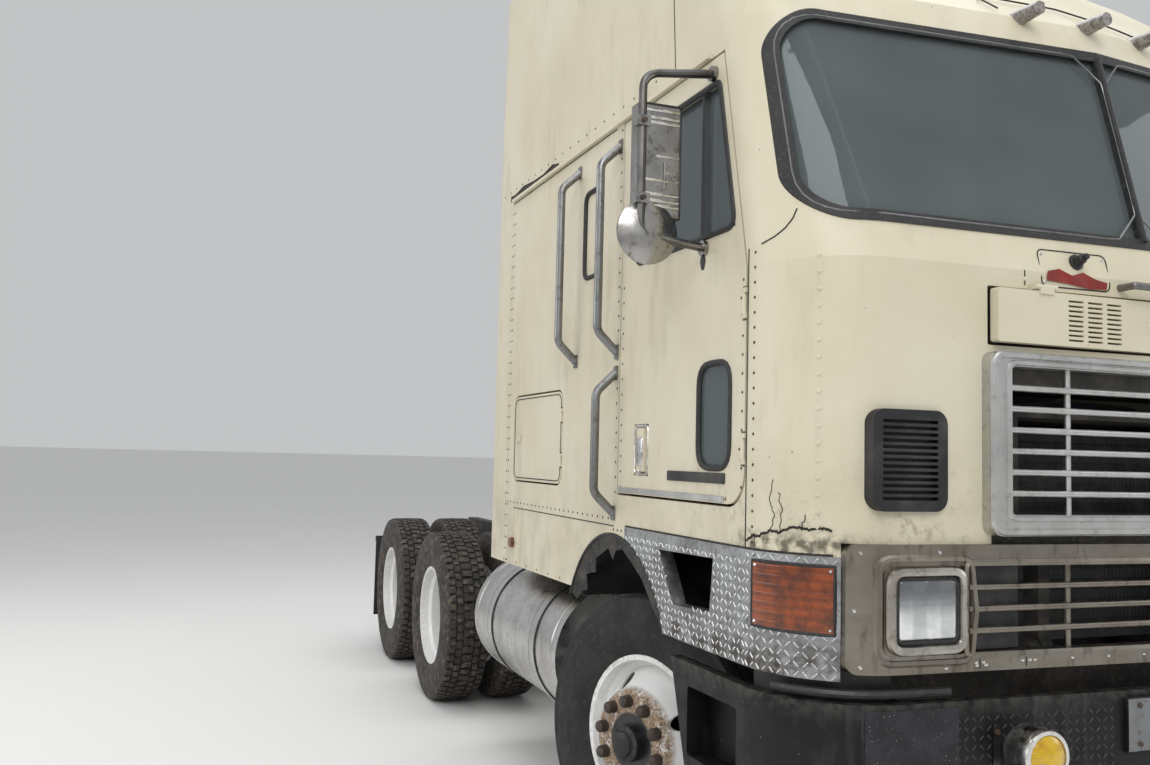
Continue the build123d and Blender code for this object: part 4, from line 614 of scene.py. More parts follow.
def turned(mesh, outline, centre, axis, steps=48, closed=False):
    """A profile of (distance along the axis, radius) pairs spun round it."""
    axis = axis.normalized()
    level = axis.orthogonal().normalized()
    ring = [mesh.verts.new(centre + axis * a + level * r) for a, r in outline]
    edges = [mesh.edges.new(pair) for pair in zip(ring, ring[1:])]
    if closed:
        edges.append(mesh.edges.new((ring[-1], ring[0])))
    bmesh.ops.spin(mesh, geom=ring + edges, cent=centre, axis=axis, angle=2 * math.pi, steps=steps,
                   use_merge=True)


def box(mesh, low, high, bevel=0.0, segments=2):
    """An upright box between two corners, its edges rounded."""
    size = high - low
    move = Matrix.Translation((low + high) / 2) @ Matrix.Diagonal((*size, 1.0))
    made = bmesh.ops.create_cube(mesh, size=1.0, matrix=move)
    if bevel:
        edges = list({edge for vert in made["verts"] for edge in vert.link_edges})
        bmesh.ops.bevel(mesh, geom=edges, offset=bevel, segments=segments, affect="EDGES", profile=0.5,
                        material=-1)


def side_box(mesh, side, xs, ys, zs, bevel, segments):
    """A box with rounded edges, given on the left side and mirrored to the right."""
    x0, x1 = sorted(side * x for x in xs)
    box(mesh, P(x0, ys[0], zs[0]), P(x1, ys[1], zs[1]), bevel, segments)


WAY_IN = {-1: Vector((1, 0, 0)), 1: Vector((-1, 0, 0))}
BACK, FORWARD = Vector((0, 1, 0)), Vector((0, -1, 0))
UP = Vector((0, 0, 1))
FAR_OUT = 1.6
FAR_FRONT = -2.2


def side_line(node, side, start, end, count):
    """A straight line seen from the side, laid on a node."""
    return cast_line(node, P(side * FAR_OUT, *start), P(side * FAR_OUT, *end), WAY_IN[side], count)


def front_line(node, start, end, count):
    """A straight line seen from the front, laid on a node."""
    (x0, z0), (x1, z1) = start, end
    return cast_line(node, P(x0, FAR_FRONT, z0), P(x1, FAR_FRONT, z1), BACK, count)


def on_side(node, side, y, z):
    """Where a node is met from one side."""
    return hit(node, P(side * FAR_OUT, y, z), WAY_IN[side])


def on_front(node, x, z):
    """Where a node is met from the front."""
    return hit(node, P(x, FAR_FRONT, z), BACK)


def from_front(node, side=1):
    """A cast onto a node from the front, by place across and height."""
    return lambda x, z: on_front(node, side * x, z)


def from_side(node, side):
    """A cast onto a node from one side, by place along and height."""
    return lambda y, z: on_side(node, side, y, z)


def evenly(start, end, count):
    """Even steps along a straight line."""
    steps = [index / (count - 1) for index in range(count)]
    return [(start[0] + (end[0] - start[0]) * t, start[1] + (end[1] - start[1]) * t) for t in steps]


def dots(studs, cast, places, radius, proud, lift=0.0, sides=8, rows=4):
    """Domes at the places where the cast meets the surface."""
    for place in places:
        found = cast(*place)
        if found:
            studs.dome(found[0] + found[1] * lift, found[1], radius, proud, sides, rows)


def patch(mesh, node, outline, way, proud=0.001):
    """A flat torn or cut shape laid on a node."""
    found = [hit(node, point, way) for point in outline]
    verts = [mesh.verts.new(place + normal * proud) for place, normal in found]
    edges = [mesh.edges.new(pair) for pair in zip(verts, verts[1:] + verts[:1])]
    bmesh.ops.triangle_fill(mesh, use_beauty=True, edges=edges)


def wrap(mesh, cast, spans, proud=0.001, cuts=12):
    """A rectangle of sheet pressed onto what a cast finds, its corners given by two spans."""
    (u0, u1), (v0, v1) = spans
    missed = []
    for vert in bmesh.ops.create_grid(mesh, x_segments=cuts, y_segments=cuts, size=1.0)["verts"]:
        found = cast(u0 + (u1 - u0) * (vert.co.x + 1) / 2, v0 + (v1 - v0) * (vert.co.y + 1) / 2)
        if found:
            vert.co = found[0] + found[1] * proud
        else:
            missed.append(vert)
    bmesh.ops.delete(mesh, geom=missed, context="VERTS")


CORNER_X, CORNER_Y = 0.890, -0.958


def on_corner(node, side, degrees, z):
    """The front corner at so many degrees from straight ahead, round its upright axis."""
    angle = math.radians(degrees)
    out = Vector((side * math.sin(angle), -math.cos(angle), 0))
    start = P(side * CORNER_X, CORNER_Y, z) + out * 0.7
    found = hit(node, start, -out)
    return found if found and (found[0] - start).length < 0.5 else None


def pour(target, mesh):
    """Adds a finished mesh to another."""
    data = bpy.data.meshes.new("poured")
    mesh.to_mesh(data)
    mesh.free()
    target.from_mesh(data)
    bpy.data.meshes.remove(data)


def front_loop(x0, x1, z0, z1, radius, node, inset=0.0):
    """A rounded rectangle seen from the front, laid on a node."""
    corners = [P(x, FAR_FRONT, z) for x, z in ((x0, z0), (x1, z0), (x1, z1), (x0, z1))]
    path = rounded(corners, radius, closed=True, steps=6)
    made = []
    for index, point in enumerate(path):
        after = path[(index + 1) % len(path)]
        pieces = max(1, int((after - point).length / 0.07))
        for step in range(pieces):
            found = hit(node, point.lerp(after, step / pieces), BACK)
            if found:
                made.append(found[0] - found[1] * inset)
    return made


def front_bead(mesh, node, frame, corner, radius, inset=0.0, sides=8):
    """A round bead along a rounded rectangle, laid on a node from the front."""
    tube(mesh, front_loop(*frame, corner, node, inset), radius, closed=True, sides=sides)


def side_bead(mesh, side, frame, corner, radius, depth=0.0, sides=8):
    """A round bead along a rounded rectangle in the side skin, that far below its face."""
    tube(mesh, rounded(side_loop(side, *frame, SKIN_X - depth), corner, closed=True), radius, closed=True,
         sides=sides)


# Tyres: ribbed steering tread in front, block tread behind, on one wall profile
WALL_OUTLINE = [(0.1120, 0.5085), (0.1230, 0.5010), (0.1275, 0.4860), (0.1270, 0.4780), (0.1310, 0.4690),
                (0.1360, 0.4400), (0.1395, 0.4100), (0.1398, 0.3850), (0.1388, 0.3810), (0.1392, 0.3780),
                (0.1370, 0.3560), (0.1340, 0.3440), (0.1348, 0.3400), (0.1290, 0.3240), (0.1220, 0.3110),
                (0.1165, 0.3000), (0.1047, 0.2984), (0.1047, 0.2892)]
GROOVES = ((0.028, 0.038), (0.070, 0.080))
TREAD_R = 0.5148
GROOVE_DEPTH = 0.013
LUGS = 96


def tyre_outline(groove_half):
    """Half width and radius along the whole tyre, its grooves that much to each side of their middle."""
    half = [(0.0, TREAD_R)]
    for start, end in GROOVES:
        start, end = start + 0.005 - groove_half, end - 0.005 + groove_half
        half += [(start, TREAD_R - start * 0.02), (start + 0.001, TREAD_R - GROOVE_DEPTH),
                 (end - 0.001, TREAD_R - GROOVE_DEPTH), (end, TREAD_R - end * 0.02)]
    half += [(0.104, TREAD_R - 0.003)] + WALL_OUTLINE
    return [(-a, r) for a, r in reversed(half)] + half[1:]


for body, tyre_node, rim_node, centres, turn in WHEELS:
    driven = len(centres) == 2
    mesh = bmesh.new()
    axis = Vector((math.cos(turn), math.sin(turn), 0))
    for centre in centres:
        tyre = bmesh.new()
        turned(tyre, tyre_outline(0.004 if driven else 0.005), centre, axis,
               steps=2 * LUGS if driven else 120, closed=True)
        if driven:
            bmesh.ops.remove_doubles(tyre, verts=tyre.verts, dist=0.00001)
            lugs = []
            for face in tyre.faces:
                middle = face.calc_center_median() - centre
                across = abs(middle.dot(axis))
                radius = (middle - axis * middle.dot(axis)).length
                slice_number = int((math.atan2(middle.z, middle.y) / (2 * math.pi) + 0.5) * 2 * LUGS)
                on_tread = radius > TREAD_R - 0.006 and across < 0.115
                phase = 0 if across > 0.08 or across < 0.03 else 1
                if on_tread and slice_number % 3 == phase:
                    lugs.append(face)
            sunk = bmesh.ops.extrude_discrete_faces(tyre, faces=lugs)["faces"]
            for face in sunk:
                for vert in face.verts:
                    arm = vert.co - centre
                    arm = arm - axis * arm.dot(axis)
                    vert.co -= arm.normalized() * 0.009
        pour(mesh, tyre)
    made = piece("road_" + tyre_node, mesh, DRIVE_TYRE if driven else TYRE, body,
                 smooth=30.0)
    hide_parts(tyre_node)

# Wheel nuts under domed caps, and a bolted cap on each hub
NUT_COUNT, NUT_CIRCLE, NUT_FIRST = 10, 0.1429, math.radians(12.0)
FRONT_SEAT, DRIVE_SEAT = 0.177, -0.165
CAP_OUTLINE = [(0.0, 0.064), (0.005, 0.064), (0.007, 0.056), (0.009, 0.046), (0.020, 0.043), (0.026, 0.034),
               (0.028, 0.018), (0.029, 0.0)]
for body, tyre_node, rim_node, centres, turn in WHEELS:
    side = 1 if centres[0].x > 0 else -1
    out = Vector((math.cos(turn), math.sin(turn), 0)) * side
    rear = Vector((-math.sin(turn), math.cos(turn), 0))
    seat = centres[0] + out * (DRIVE_SEAT if len(centres) == 2 else FRONT_SEAT)
    nuts, cap = Studs(), bmesh.new()
    for index in range(NUT_COUNT):
        angle = NUT_FIRST + 2 * math.pi * index / NUT_COUNT
        place = seat + (rear * math.cos(angle) + UP * math.sin(angle)) * NUT_CIRCLE
        nuts.hexagon(place, out, 0.0225, 0.0288, 12)
        nuts.dome(place + out * 0.0275, out, 0.0205, 0.0125, 12, 8)
    found = hit(rim_node, centres[0] + out * 0.8, -out)
    turned(cap, CAP_OUTLINE, found[0], out, steps=32)
    for index in range(8):
        angle = 2 * math.pi * index / 8
        nuts.hexagon(found[0] + (rear * math.cos(angle) + UP * math.sin(angle)) * 0.055 + out * 0.005, out,
                     0.0055, 0.005)
    piece("wheel_nuts_" + rim_node, nuts.mesh, NUT_STEEL, body)
    piece("hub_cap_" + rim_node, cap, BLACK_PLASTIC, body)

# Rivets in rows: the node where it varies, the ends of the row seen from the side or front, how many
RIVET_ROWS = [("cab_side", (-0.010, 1.300), (1.320, 1.300), 26),
              ("cab_side", (-0.080, 1.262), (-0.010, 1.262), 3),
              ("cab_side", (1.318, 1.020), (1.318, 2.780), 34),
              ("cab_rear_wall", (1.350, 1.020), (1.350, 2.780), 34),
              ("cab_side", (0.10, 1.020), (1.300, 1.020), 9),
              ("cab_side", (-0.015, 1.400), (-0.015, 2.760), 26),
              ("roof_fairing", (-0.40, 2.850), (1.600, 2.850), 22)]
DOOR_ROWS = [((-0.930, 1.45), (-0.930, 2.05), 12), ((-0.062, 1.42), (-0.062, 2.15), 14),
             ((-0.84, 1.412), (-0.08, 1.412), 15)]
FRONT_ROWS = [(1.098, 1.345, 2.09, 17), (0.480, 1.89, 2.06, 3)]
CORNER_ROW = ((-0.990, 1.300), (-0.990, 2.120), 20)
rivets, painted_rivets = Studs(), Studs()
for side, label in SIDES:
    for node, start, end, count in RIVET_ROWS:
        name = node + "_" + label if node == "cab_side" else node
        dots(rivets, from_side(name, side), evenly(start, end, count), 0.0052, 0.0022, sides=7)
    dots(rivets, from_side("cab_front", side), evenly(*CORNER_ROW), 0.0050, 0.0022, sides=7)
piece("cab_rivets", rivets.mesh, BOLT, "cab")
for side, label in SIDES:
    for x, z0, z1, count in FRONT_ROWS:
        dots(painted_rivets, from_front("cab_front", side), evenly((x, z0), (x, z1), count), 0.0072, 0.0036,
             sides=10, rows=6)
piece("painted_front_rivets", painted_rivets.mesh, CREAM, "cab")
for side, label in SIDES:
    rivets = Studs()
    for row in DOOR_ROWS:
        dots(rivets, from_side("door_" + label, side), evenly(*row), 0.0048, 0.0020, sides=7)
    piece("door_rivets_" + label, rivets.mesh, BOLT, "door_" + label + "_body")

# Panel seams: thin dark beads laid on the skin, and a painted shadow line under the drip rail
CORNER_SEAM = ((1.126, 2.228), (1.136, 2.200), (1.150, 2.175), (1.166, 2.155), (1.182, 2.140))
seams = bmesh.new()
for side, label in SIDES:
    wall = "cab_side_" + label
    # The low line is a seam; the line at the drip rail is a painted shadow
    for start, end in (((-0.01, 1.275), (1.332, 1.275)), ((-0.70, 2.779), (1.330, 2.779))):
        tube(seams, side_line(wall, side, start, end, 12), 0.0022)
    tube(seams, side_line("roof_fairing", side, (-0.46, 2.815), (-0.42, 3.30), 14), 0.0022)
    tube(seams, front_line("cab_front", (side * 0.480, 1.872), (side * 0.480, 2.085), 6), 0.0020)
    for (x0, z0), (x1, z1) in zip(CORNER_SEAM, CORNER_SEAM[1:]):
        tube(seams, front_line("cab_front", (side * x0, z0), (side * x1, z1), 4), 0.0024)
    tube(seams, side_line("cab_front", side, (-0.958, 1.285), (-0.958, 2.135), 12), 0.0024)
piece("panel_seams_and_drip_shadow", seams, SEAM_AND_SHADE_BLACK, "cab")

# Long tears round the corner panel, given in degrees round the corner and height
TEARS = [[(89, 1.305), (84, 1.318), (78, 1.322), (71, 1.338), (65, 1.334), (57, 1.352), (49, 1.346),
          (42, 1.352), (36, 1.345)],
         [(70, 1.338), (68, 1.385), (71, 1.430), (69, 1.490)],
         [(65, 1.334), (63, 1.390), (66, 1.455)],
         [(52, 1.346), (50, 1.392)],
         [(80, 1.320), (83, 1.290)]]
tears = bmesh.new()
for path in TEARS:
    points = []
    for (a0, z0), (a1, z1) in zip(path, path[1:]):
        for step in range(6):
            t = step / 6
            found = on_corner("cab_front", -1, a0 + (a1 - a0) * t + DICE.uniform(-0.8, 0.8),
                              z0 + (z1 - z0) * t + DICE.uniform(-0.004, 0.004))
            if found:
                points.append(found[0])
    if len(points) > 2:
        tube(tears, points, 0.0040 if path is TEARS[0] else 0.0016, sides=4)
piece("corner_tears", tears, SEAM_AND_SHADE_BLACK, "cab")

# Black patch painted as the shade inside a torn gap over the drip rail, seen on the right side only
GAP = [(1.400, 2.799), (1.150, 2.799), (0.900, 2.799), (0.700, 2.800), (0.690, 2.818), (0.780, 2.836),
       (0.900, 2.822), (1.050, 2.826), (1.200, 2.838), (1.330, 2.824), (1.400, 2.830)]
gap = bmesh.new()
patch(gap, "roof_fairing", [P(-FAR_OUT, y, z) for y, z in GAP], WAY_IN[-1], 0.002)
piece("torn_gap_shade", gap, SEAM_AND_SHADE_BLACK, "cab", smooth=0)

# Red sealant smeared over the lower half of one wiper cover
SEALANT = [(-0.405, 2.062), (-0.400, 2.088), (-0.355, 2.098), (-0.312, 2.082), (-0.270, 2.094),
           (-0.228, 2.078), (-0.182, 2.070), (-0.186, 2.050), (-0.250, 2.047), (-0.320, 2.056)]
smear = bmesh.new()
patch(smear, "cab_front", [P(x, FAR_FRONT, z) for x, z in SEALANT], BACK, 0.004)
piece("sealant_smear", smear, SMEAR, "cab", smooth=0)

# Anti-slip grit sheets and a bolted strip on the bumper
grit, strips, strip_bolts = bmesh.new(), bmesh.new(), Studs()
for side, label in SIDES:
    wrap(grit, from_front("front_bumper", side), ((0.72, 1.00), (0.52, 0.885)), 0.0015, 16)
    wrap(strips, from_front("front_bumper", side), ((0.588, 0.612), (0.50, 0.835)), 0.006, 6)
    for z in (0.52, 0.66, 0.815):
        found = on_front("front_bumper", side * 0.60, z)
        strip_bolts.hexagon(found[0] + found[1] * 0.006, found[1], 0.008, 0.007)
piece("bumper_grit", grit, GRIT, "chassis", smooth=0)
piece("bumper_strips", strips, ARM_STEEL, "chassis")
piece("bumper_strip_bolts", strip_bolts.mesh, BOLT, "chassis")

# Blank number plate with a raised rim and four bolts, and a black strip painted as the shade in the slot
# under the upper grille
plate, plate_rim, slot_shade_strip, plate_bolts = bmesh.new(), bmesh.new(), bmesh.new(), Studs()
wrap(plate, from_front("front_bumper"), ((-0.149, 0.149), (0.733, 0.879)), 0.0015, 4)
piece("blank_plate", plate, BLANK_PLATE, "chassis")
# Painted shade: a black strip stands in for the dark slot under the upper grille
wrap(slot_shade_strip, from_front("cab_front"), ((-0.600, 0.600), (1.286, 1.338)), 0.0015, 16)
piece("slot_shade_under_grille", slot_shade_strip, SEAM_AND_SHADE_BLACK, "cab")
for x in (-0.105, 0.105):
    for z in (0.752, 0.860):
        found = on_front("front_bumper", x, z)
        plate_bolts.hexagon(found[0] + found[1] * 0.001, found[1], 0.008, 0.005)
piece("plate_bolts", plate_bolts.mesh, BOLT, "chassis")

# Side tanks: weld beads by the ends, rubber under the straps, a filler cap on the shoulder
TANK_X, TANK_Z, TANK_R = 0.870, 0.670, 0.305
WELD_BEAD = [(-0.006, TANK_R - 0.001), (0.0, TANK_R + 0.003), (0.006, TANK_R - 0.001)]
STRAP_RUBBER = [(-0.005, TANK_R - 0.001), (-0.004, TANK_R + 0.005), (0.004, TANK_R + 0.005),
                (0.005, TANK_R - 0.001)]
FILLER_CAP = [(-0.010, 0.040), (0.018, 0.040), (0.020, 0.052), (0.040, 0.052), (0.046, 0.044), (0.046, 0.0)]
beads, liners, caps = bmesh.new(), bmesh.new(), bmesh.new()
for side, label in SIDES:
    for y in (0.690, 1.835):
        turned(beads, WELD_BEAD, P(side * TANK_X, y, TANK_Z), BACK, steps=64)
    for y in (0.930, 1.600):
        for edge in (-0.036, 0.036):
            turned(liners, STRAP_RUBBER, P(side * TANK_X, y + edge, TANK_Z), BACK, steps=64)
    lean = Vector((side * 0.35, 0, 1)).normalized()
    turned(caps, FILLER_CAP, P(side * TANK_X, 0.800, TANK_Z) + lean * TANK_R, lean, steps=28)
piece("tank_weld_beads", beads, TANK_METAL, "chassis")
piece("tank_strap_rubbers", liners, RUBBER, "chassis")
piece("tank_caps", caps, PALE_STEEL, "chassis")

# Thin black wire over the three middle brow lamps, with clips on the fairing above
wire, clips = bmesh.new(), Studs()
WIRE = ((-0.315, 2.985), (-0.318, 3.050), (-0.290, 3.078), (-0.150, 3.076), (0.050, 3.070), (0.190, 3.062),
        (0.250, 3.030), (0.290, 2.985))
path = []
for (x0, z0), (x1, z1) in zip(WIRE, WIRE[1:]):
    for step in range(5):
        x, z = x0 + (x1 - x0) * step / 5, z0 + (z1 - z0) * step / 5
        found = on_front("roof_fairing", x, z) or on_front("cab_front", x, z)
        path.append(found[0] + found[1] * 0.010)
tube(wire, rounded(path, 0.02), 0.0030)
piece("lamp_wire", wire, RUBBER, "cab")
for x in (-0.250, 0.020, 0.290, -0.620, 0.620):
    found = on_front("roof_fairing", x, 3.125)
    if found:
        clips.hexagon(found[0], found[1], 0.011, 0.008, 12)
        clips.dome(found[0] + found[1] * 0.008, found[1], 0.007, 0.006)
piece("fairing_clips", clips.mesh, BLACK_PLASTIC, "cab")

# Rubbers round the windows, and the outlines of the luggage lids
DOOR_GLASS = [(-0.878, 2.220), (-0.175, 2.220), (-0.175, 2.695), (-0.773, 2.695)]
QUARTER_POST_Y = -0.658
LOW_WINDOW = (-0.862, -0.662, 1.501, 1.821)
SLEEPER_WINDOW = (0.192, 0.352, 2.245, 2.595)
LUGGAGE_BEAD = (0.582, 1.222, 1.420, 1.790)
for side, label in SIDES:
    body = "door_" + label + "_body"
    outline = [P(side * (SKIN_X - 0.001), y, z) for y, z in DOOR_GLASS]
    rubbers = bmesh.new()
    tube(rubbers, rounded(outline, 0.035, closed=True), 0.010, closed=True, sides=12)
    tube(rubbers, [P(side * (SKIN_X - 0.010), QUARTER_POST_Y, z) for z in (2.222, 2.693)], 0.0095, sides=12)
    if side < 0:
        side_bead(rubbers, side, LOW_WINDOW, 0.07, 0.010, 0.002, sides=12)
    piece("door_rubbers_" + label, rubbers, RUBBER, body)
    rubbers = bmesh.new()
    side_bead(rubbers, side, SLEEPER_WINDOW, 0.045, 0.010, 0.001, sides=12)
    piece("sleeper_rubber_" + label, rubbers, RUBBER, "cab")
    lid = bmesh.new()
    side_bead(lid, side, LUGGAGE_BEAD, 0.045, 0.0025)
    piece("luggage_bead_" + label, lid, SEAM_AND_SHADE_BLACK, "luggage_door_" + label + "_body")

# Windscreen: pale inner lip of the rubber and the middle post; black line above the corner panels
GAP_LINE_Z = 1.2815
lip, gap_lines = bmesh.new(), bmesh.new()
for side, label in SIDES:
    corner_line = [on_corner("cab_front", side, a, GAP_LINE_Z) for a in range(30, 91, 6)]
    wall = "cab_side_" + label
    straight = [on_side("cab_front", side, y, GAP_LINE_Z) or on_side(wall, side, y, GAP_LINE_Z)
                for y in (-0.9, -0.7, -0.5, -0.3, -0.12)]
    tube(gap_lines, [found[0] for found in corner_line + straight if found], 0.0035)
piece("plate_gap_lines", gap_lines, SEAM_AND_SHADE_BLACK, "cab")
for x0, x1 in ((-1.127, -0.008), (0.008, 1.127)):
    front_bead(lip, "windscreen_gasket", (x0, x1, 2.213, 2.842), 0.125, 0.0035, 0.002)
piece("windscreen_lip", lip, PALE_STEEL, "cab")
post = bmesh.new()
tube(post, front_line("windscreen_gasket", (0, 2.215), (0, 2.84), 8), 0.010, sides=12)
piece("windscreen_post", post, RUBBER, "cab")

# Wiper spindles stand on square cover plates under the windscreen
SPINDLE = [(0.0, 0.0), (0.0, 0.024), (0.006, 0.024), (0.008, 0.017), (0.030, 0.014), (0.034, 0.009),
           (0.046, 0.009), (0.048, 0.0)]
SCREW_IN = 0.014
covers, spindles = bmesh.new(), bmesh.new()
cover_screws = Studs()
for side, label in SIDES:
    x0, x1, z0, z1 = sorted((side * 0.17, side * 0.42)) + [2.045, 2.155]
    front_bead(covers, "cab_front", (x0, x1, z0, z1), 0.022, 0.0022)
    corners = [(x, z) for x in (x0 + SCREW_IN, x1 - SCREW_IN) for z in (z0 + SCREW_IN, z1 - SCREW_IN)]
    dots(cover_screws, from_front("cab_front"), corners, 0.0055, 0.0028)
    turned(spindles, SPINDLE, *on_front("cab_front", side * 0.285, 2.125), steps=20)
piece("wiper_cover_seams", covers, SEAM_AND_SHADE_BLACK, "cab")
piece("wiper_cover_screws", cover_screws.mesh, CHROME, "cab")
piece("wiper_spindles", spindles, BLACK_PLASTIC, "cab")

# Upper grille: raised outer and inner edges of the satin frame
edges = bmesh.new()
front_bead(edges, "upper_grille", (-0.572, 0.572, 1.386, 1.815), 0.026, 0.010, 0.003)
front_bead(edges, "upper_grille", (-0.622, 0.622, 1.350, 1.835), 0.034, 0.012, 0.004)
piece("grille_edges", edges, FRAME_METAL, "cab")

# Lower grille: pressed ridges, lamp surrounds, screws and the joints of its three lengths
LAMP_X, LAMP_Z = 0.825, 1.1425
LAMP_SCREWS = [(x, z) for x in (-0.106, 0.106) for z in (-0.088, 0.088)]
BEZEL_SCREWS = ((0.190, -0.145), (0.190, 0.150), (-0.04, 0.152), (-0.06, -0.152), (-0.16, -0.148),
                (-0.19, -0.148), (0.205, 0.0))
LOW_EDGE_Z = 1.002
ridges, lamp_rings, lamp_seals, joints, lamp_panes = (bmesh.new() for _ in range(5))
front_bead(ridges, "lower_grille", (-0.698, 0.698, 1.020, 1.267), 0.020, 0.010, 0.003)
bezel_screws = Studs()
for side, label in SIDES:
    x = side * LAMP_X
    front_bead(ridges, "lower_grille", (x - 0.150, x + 0.150, 1.006, 1.279), 0.045, 0.011, 0.003)
    front_bead(lamp_rings, "headlamps", (x - 0.118, x + 0.118, 1.040, 1.245), 0.040, 0.014, -0.006,
               sides=12)
    front_bead(lamp_seals, "headlamps", (x - 0.099, x + 0.099, 1.060, 1.226), 0.026, 0.0075, -0.003,
               sides=12)
    box(lamp_panes, P(x - 0.094, -1.286, 1.066), P(x + 0.094, -1.262, 1.224), 0.010, 4)
    dots(bezel_screws, from_front("headlamps"), [(x + dx, LAMP_Z + dz) for dx, dz in LAMP_SCREWS],
         0.0055, 0.0040, lift=0.012)
    dots(bezel_screws, from_front("lower_grille"),
         [(x + side * dx, LAMP_Z + dz) for dx, dz in BEZEL_SCREWS], 0.0060, 0.0040)
    for x_joint in (0.655, 0.500):
        tube(joints, front_line("lower_grille", (side * x_joint, 0.985), (side * x_joint, 1.018), 4),
             0.0016)
        pair = [(side * x_joint + dx, LOW_EDGE_Z) for dx in (-0.012, 0.012)]
        dots(bezel_screws, from_front("lower_grille"), pair, 0.0055, 0.0035)
    dots(bezel_screws, from_front("lower_grille", side),
         [(0.08 + index * 0.13, LOW_EDGE_Z) for index in range(4)], 0.0050, 0.0030)
piece("bezel_ridges", ridges, STAINLESS, "cab")
piece("bezel_joints", joints, SEAM_AND_SHADE_BLACK, "cab")
piece("bezel_screws", bezel_screws.mesh, CHROME, "cab")
piece("headlamp_rings", lamp_rings, SURROUND, "cab")
piece("headlamp_seals", lamp_seals, RUBBER, "cab")
piece("headlamp_glass", lamp_panes, LAMP_GLASS, "cab")

# Fog lamps: stepped chrome rings round a domed yellow glass
FOG_SHELL = [(-0.055, 0.071), (-0.040, 0.0735), (-0.030, 0.0715), (-0.020, 0.0735), (-0.010, 0.0715),
             (0.006, 0.0735), (0.014, 0.070), (0.014, 0.060), (0.004, 0.058)]
FOG_GLASS = [(0.010, 0.059), (0.018, 0.050), (0.024, 0.034), (0.027, 0.016), (0.028, 0.0)]
shells, glasses = bmesh.new(), bmesh.new()
for side, label in SIDES:
    centre = P(side * 0.55, -1.400, 0.775)
    turned(shells, FOG_SHELL, centre, FORWARD, steps=40)
    turned(glasses, FOG_GLASS, centre, FORWARD, steps=40)
piece("fog_lamp_rings", shells, CHROME, "chassis")
piece("fog_lamp_glass", glasses, YELLOW, "chassis")

front_bead(plate_rim, "front_bumper", (-0.143, 0.143, 0.739, 0.873), 0.012, 0.0030, 0.0005)
piece("blank_plate_rim", plate_rim, BLANK_PLATE, "chassis")

# Bent dark bar lying in the gap between corner panel and bumper, with a black sheet behind it as painted
# shade in the gap
BAR_R, BAR_Z, BAR_THICK = 0.285, 0.922, 0.013
SHADE_SHEET_R, SHADE_SHEET_Z = 0.255, (0.850, 0.975)
bars, shade_sheets = bmesh.new(), bmesh.new()
for side, label in SIDES:
    route = [P(side * (CORNER_X + BAR_R * math.sin(math.radians(a))),
               CORNER_Y - BAR_R * math.cos(math.radians(a)), BAR_Z)
             for a in range(70, -1, -10)]
    tube(bars, route + [P(side * 0.730, -1.250, BAR_Z)], BAR_THICK, sides=12)
    # Painted shade: a dark curved sheet fills the back of the gap
    rim = [shade_sheets.verts.new(P(side * CORNER_X, CORNER_Y - SHADE_SHEET_R, z)) for z in SHADE_SHEET_Z]
    bmesh.ops.spin(shade_sheets, geom=rim + [shade_sheets.edges.new(rim)], cent=P(side * CORNER_X, CORNER_Y, 0),
                   axis=UP, angle=side * math.radians(95), steps=14)
piece("bumper_gap_bars", bars, RAISED_BLACK, "cab")
piece("bumper_gap_shade_sheets", shade_sheets, BLACK_PLASTIC, "cab")

# Black sheet behind the ends of the lower grille's bars, painted shade seen between them
shade_sheet_mesh = bmesh.new()
for side, label in SIDES:
    side_box(shade_sheet_mesh, side, (0.500, 0.688), (-1.262, -1.256), (1.030, 1.257), 0.002, 1)
piece("grille_end_shade_sheet", shade_sheet_mesh, BLACK_PLASTIC, "cab")

# Dark rubber lip along the edge of each front wheel arch
ARCH_Z, ARCH_LIP_R, ARCH_FLAP_R = 0.775, 0.468, 0.469
arch_lips = bmesh.new()
for side, label in SIDES:
    route = [math.radians(a) for a in range(25, 156, 5)]
    tube(arch_lips, [P(side * 1.187, ARCH_LIP_R * math.cos(a), ARCH_Z + ARCH_LIP_R * math.sin(a))
                     for a in route], 0.007)
piece("arch_lips", arch_lips, RUBBER, "cab")

# Rubber flap hanging inside each arch, torn along its rear half: degrees round the arch and depth
FLAP_DEPTHS = ((26, 0.050), (34, 0.075), (40, 0.110), (45, 0.060), (52, 0.085), (58, 0.105), (62, 0.058),
               (70, 0.062), (80, 0.050), (86, 0.095), (90, 0.060), (98, 0.045), (108, 0.060), (125, 0.062),
               (145, 0.055), (156, 0.010))
arch_flaps = bmesh.new()
for side, label in SIDES:
    flap = bmesh.new()
    chains = []
    for inset in (0, 1):
        around = [(math.radians(a), ARCH_FLAP_R - depth * inset) for a, depth in FLAP_DEPTHS]
        x = side * (1.184 - 0.012 * inset)
        chain = [flap.verts.new(P(x, r * math.cos(a), ARCH_Z + r * math.sin(a))) for a, r in around]
        chains += [flap.edges.new(pair) for pair in zip(chain, chain[1:])]
    faces = bmesh.ops.bridge_loops(flap, edges=chains)["faces"]
    bmesh.ops.solidify(flap, geom=faces, thickness=0.004)
    pour(arch_flaps, flap)
piece("torn_arch_flaps", arch_flaps, FLAP_RUBBER, "cab")

# Corner lamps: ribbed lens wrapped round the corner, black frame and four screws
LENS_DEG, LENS_Z = (35.0, 83.0), (1.074, 1.252)


def lens_place(side, degrees, z):
    """The lens, or the plate beside it, at that place round the corner."""
    return on_corner("marker_lamps", side, degrees, z) or on_corner("fender_plates", side, degrees, z)


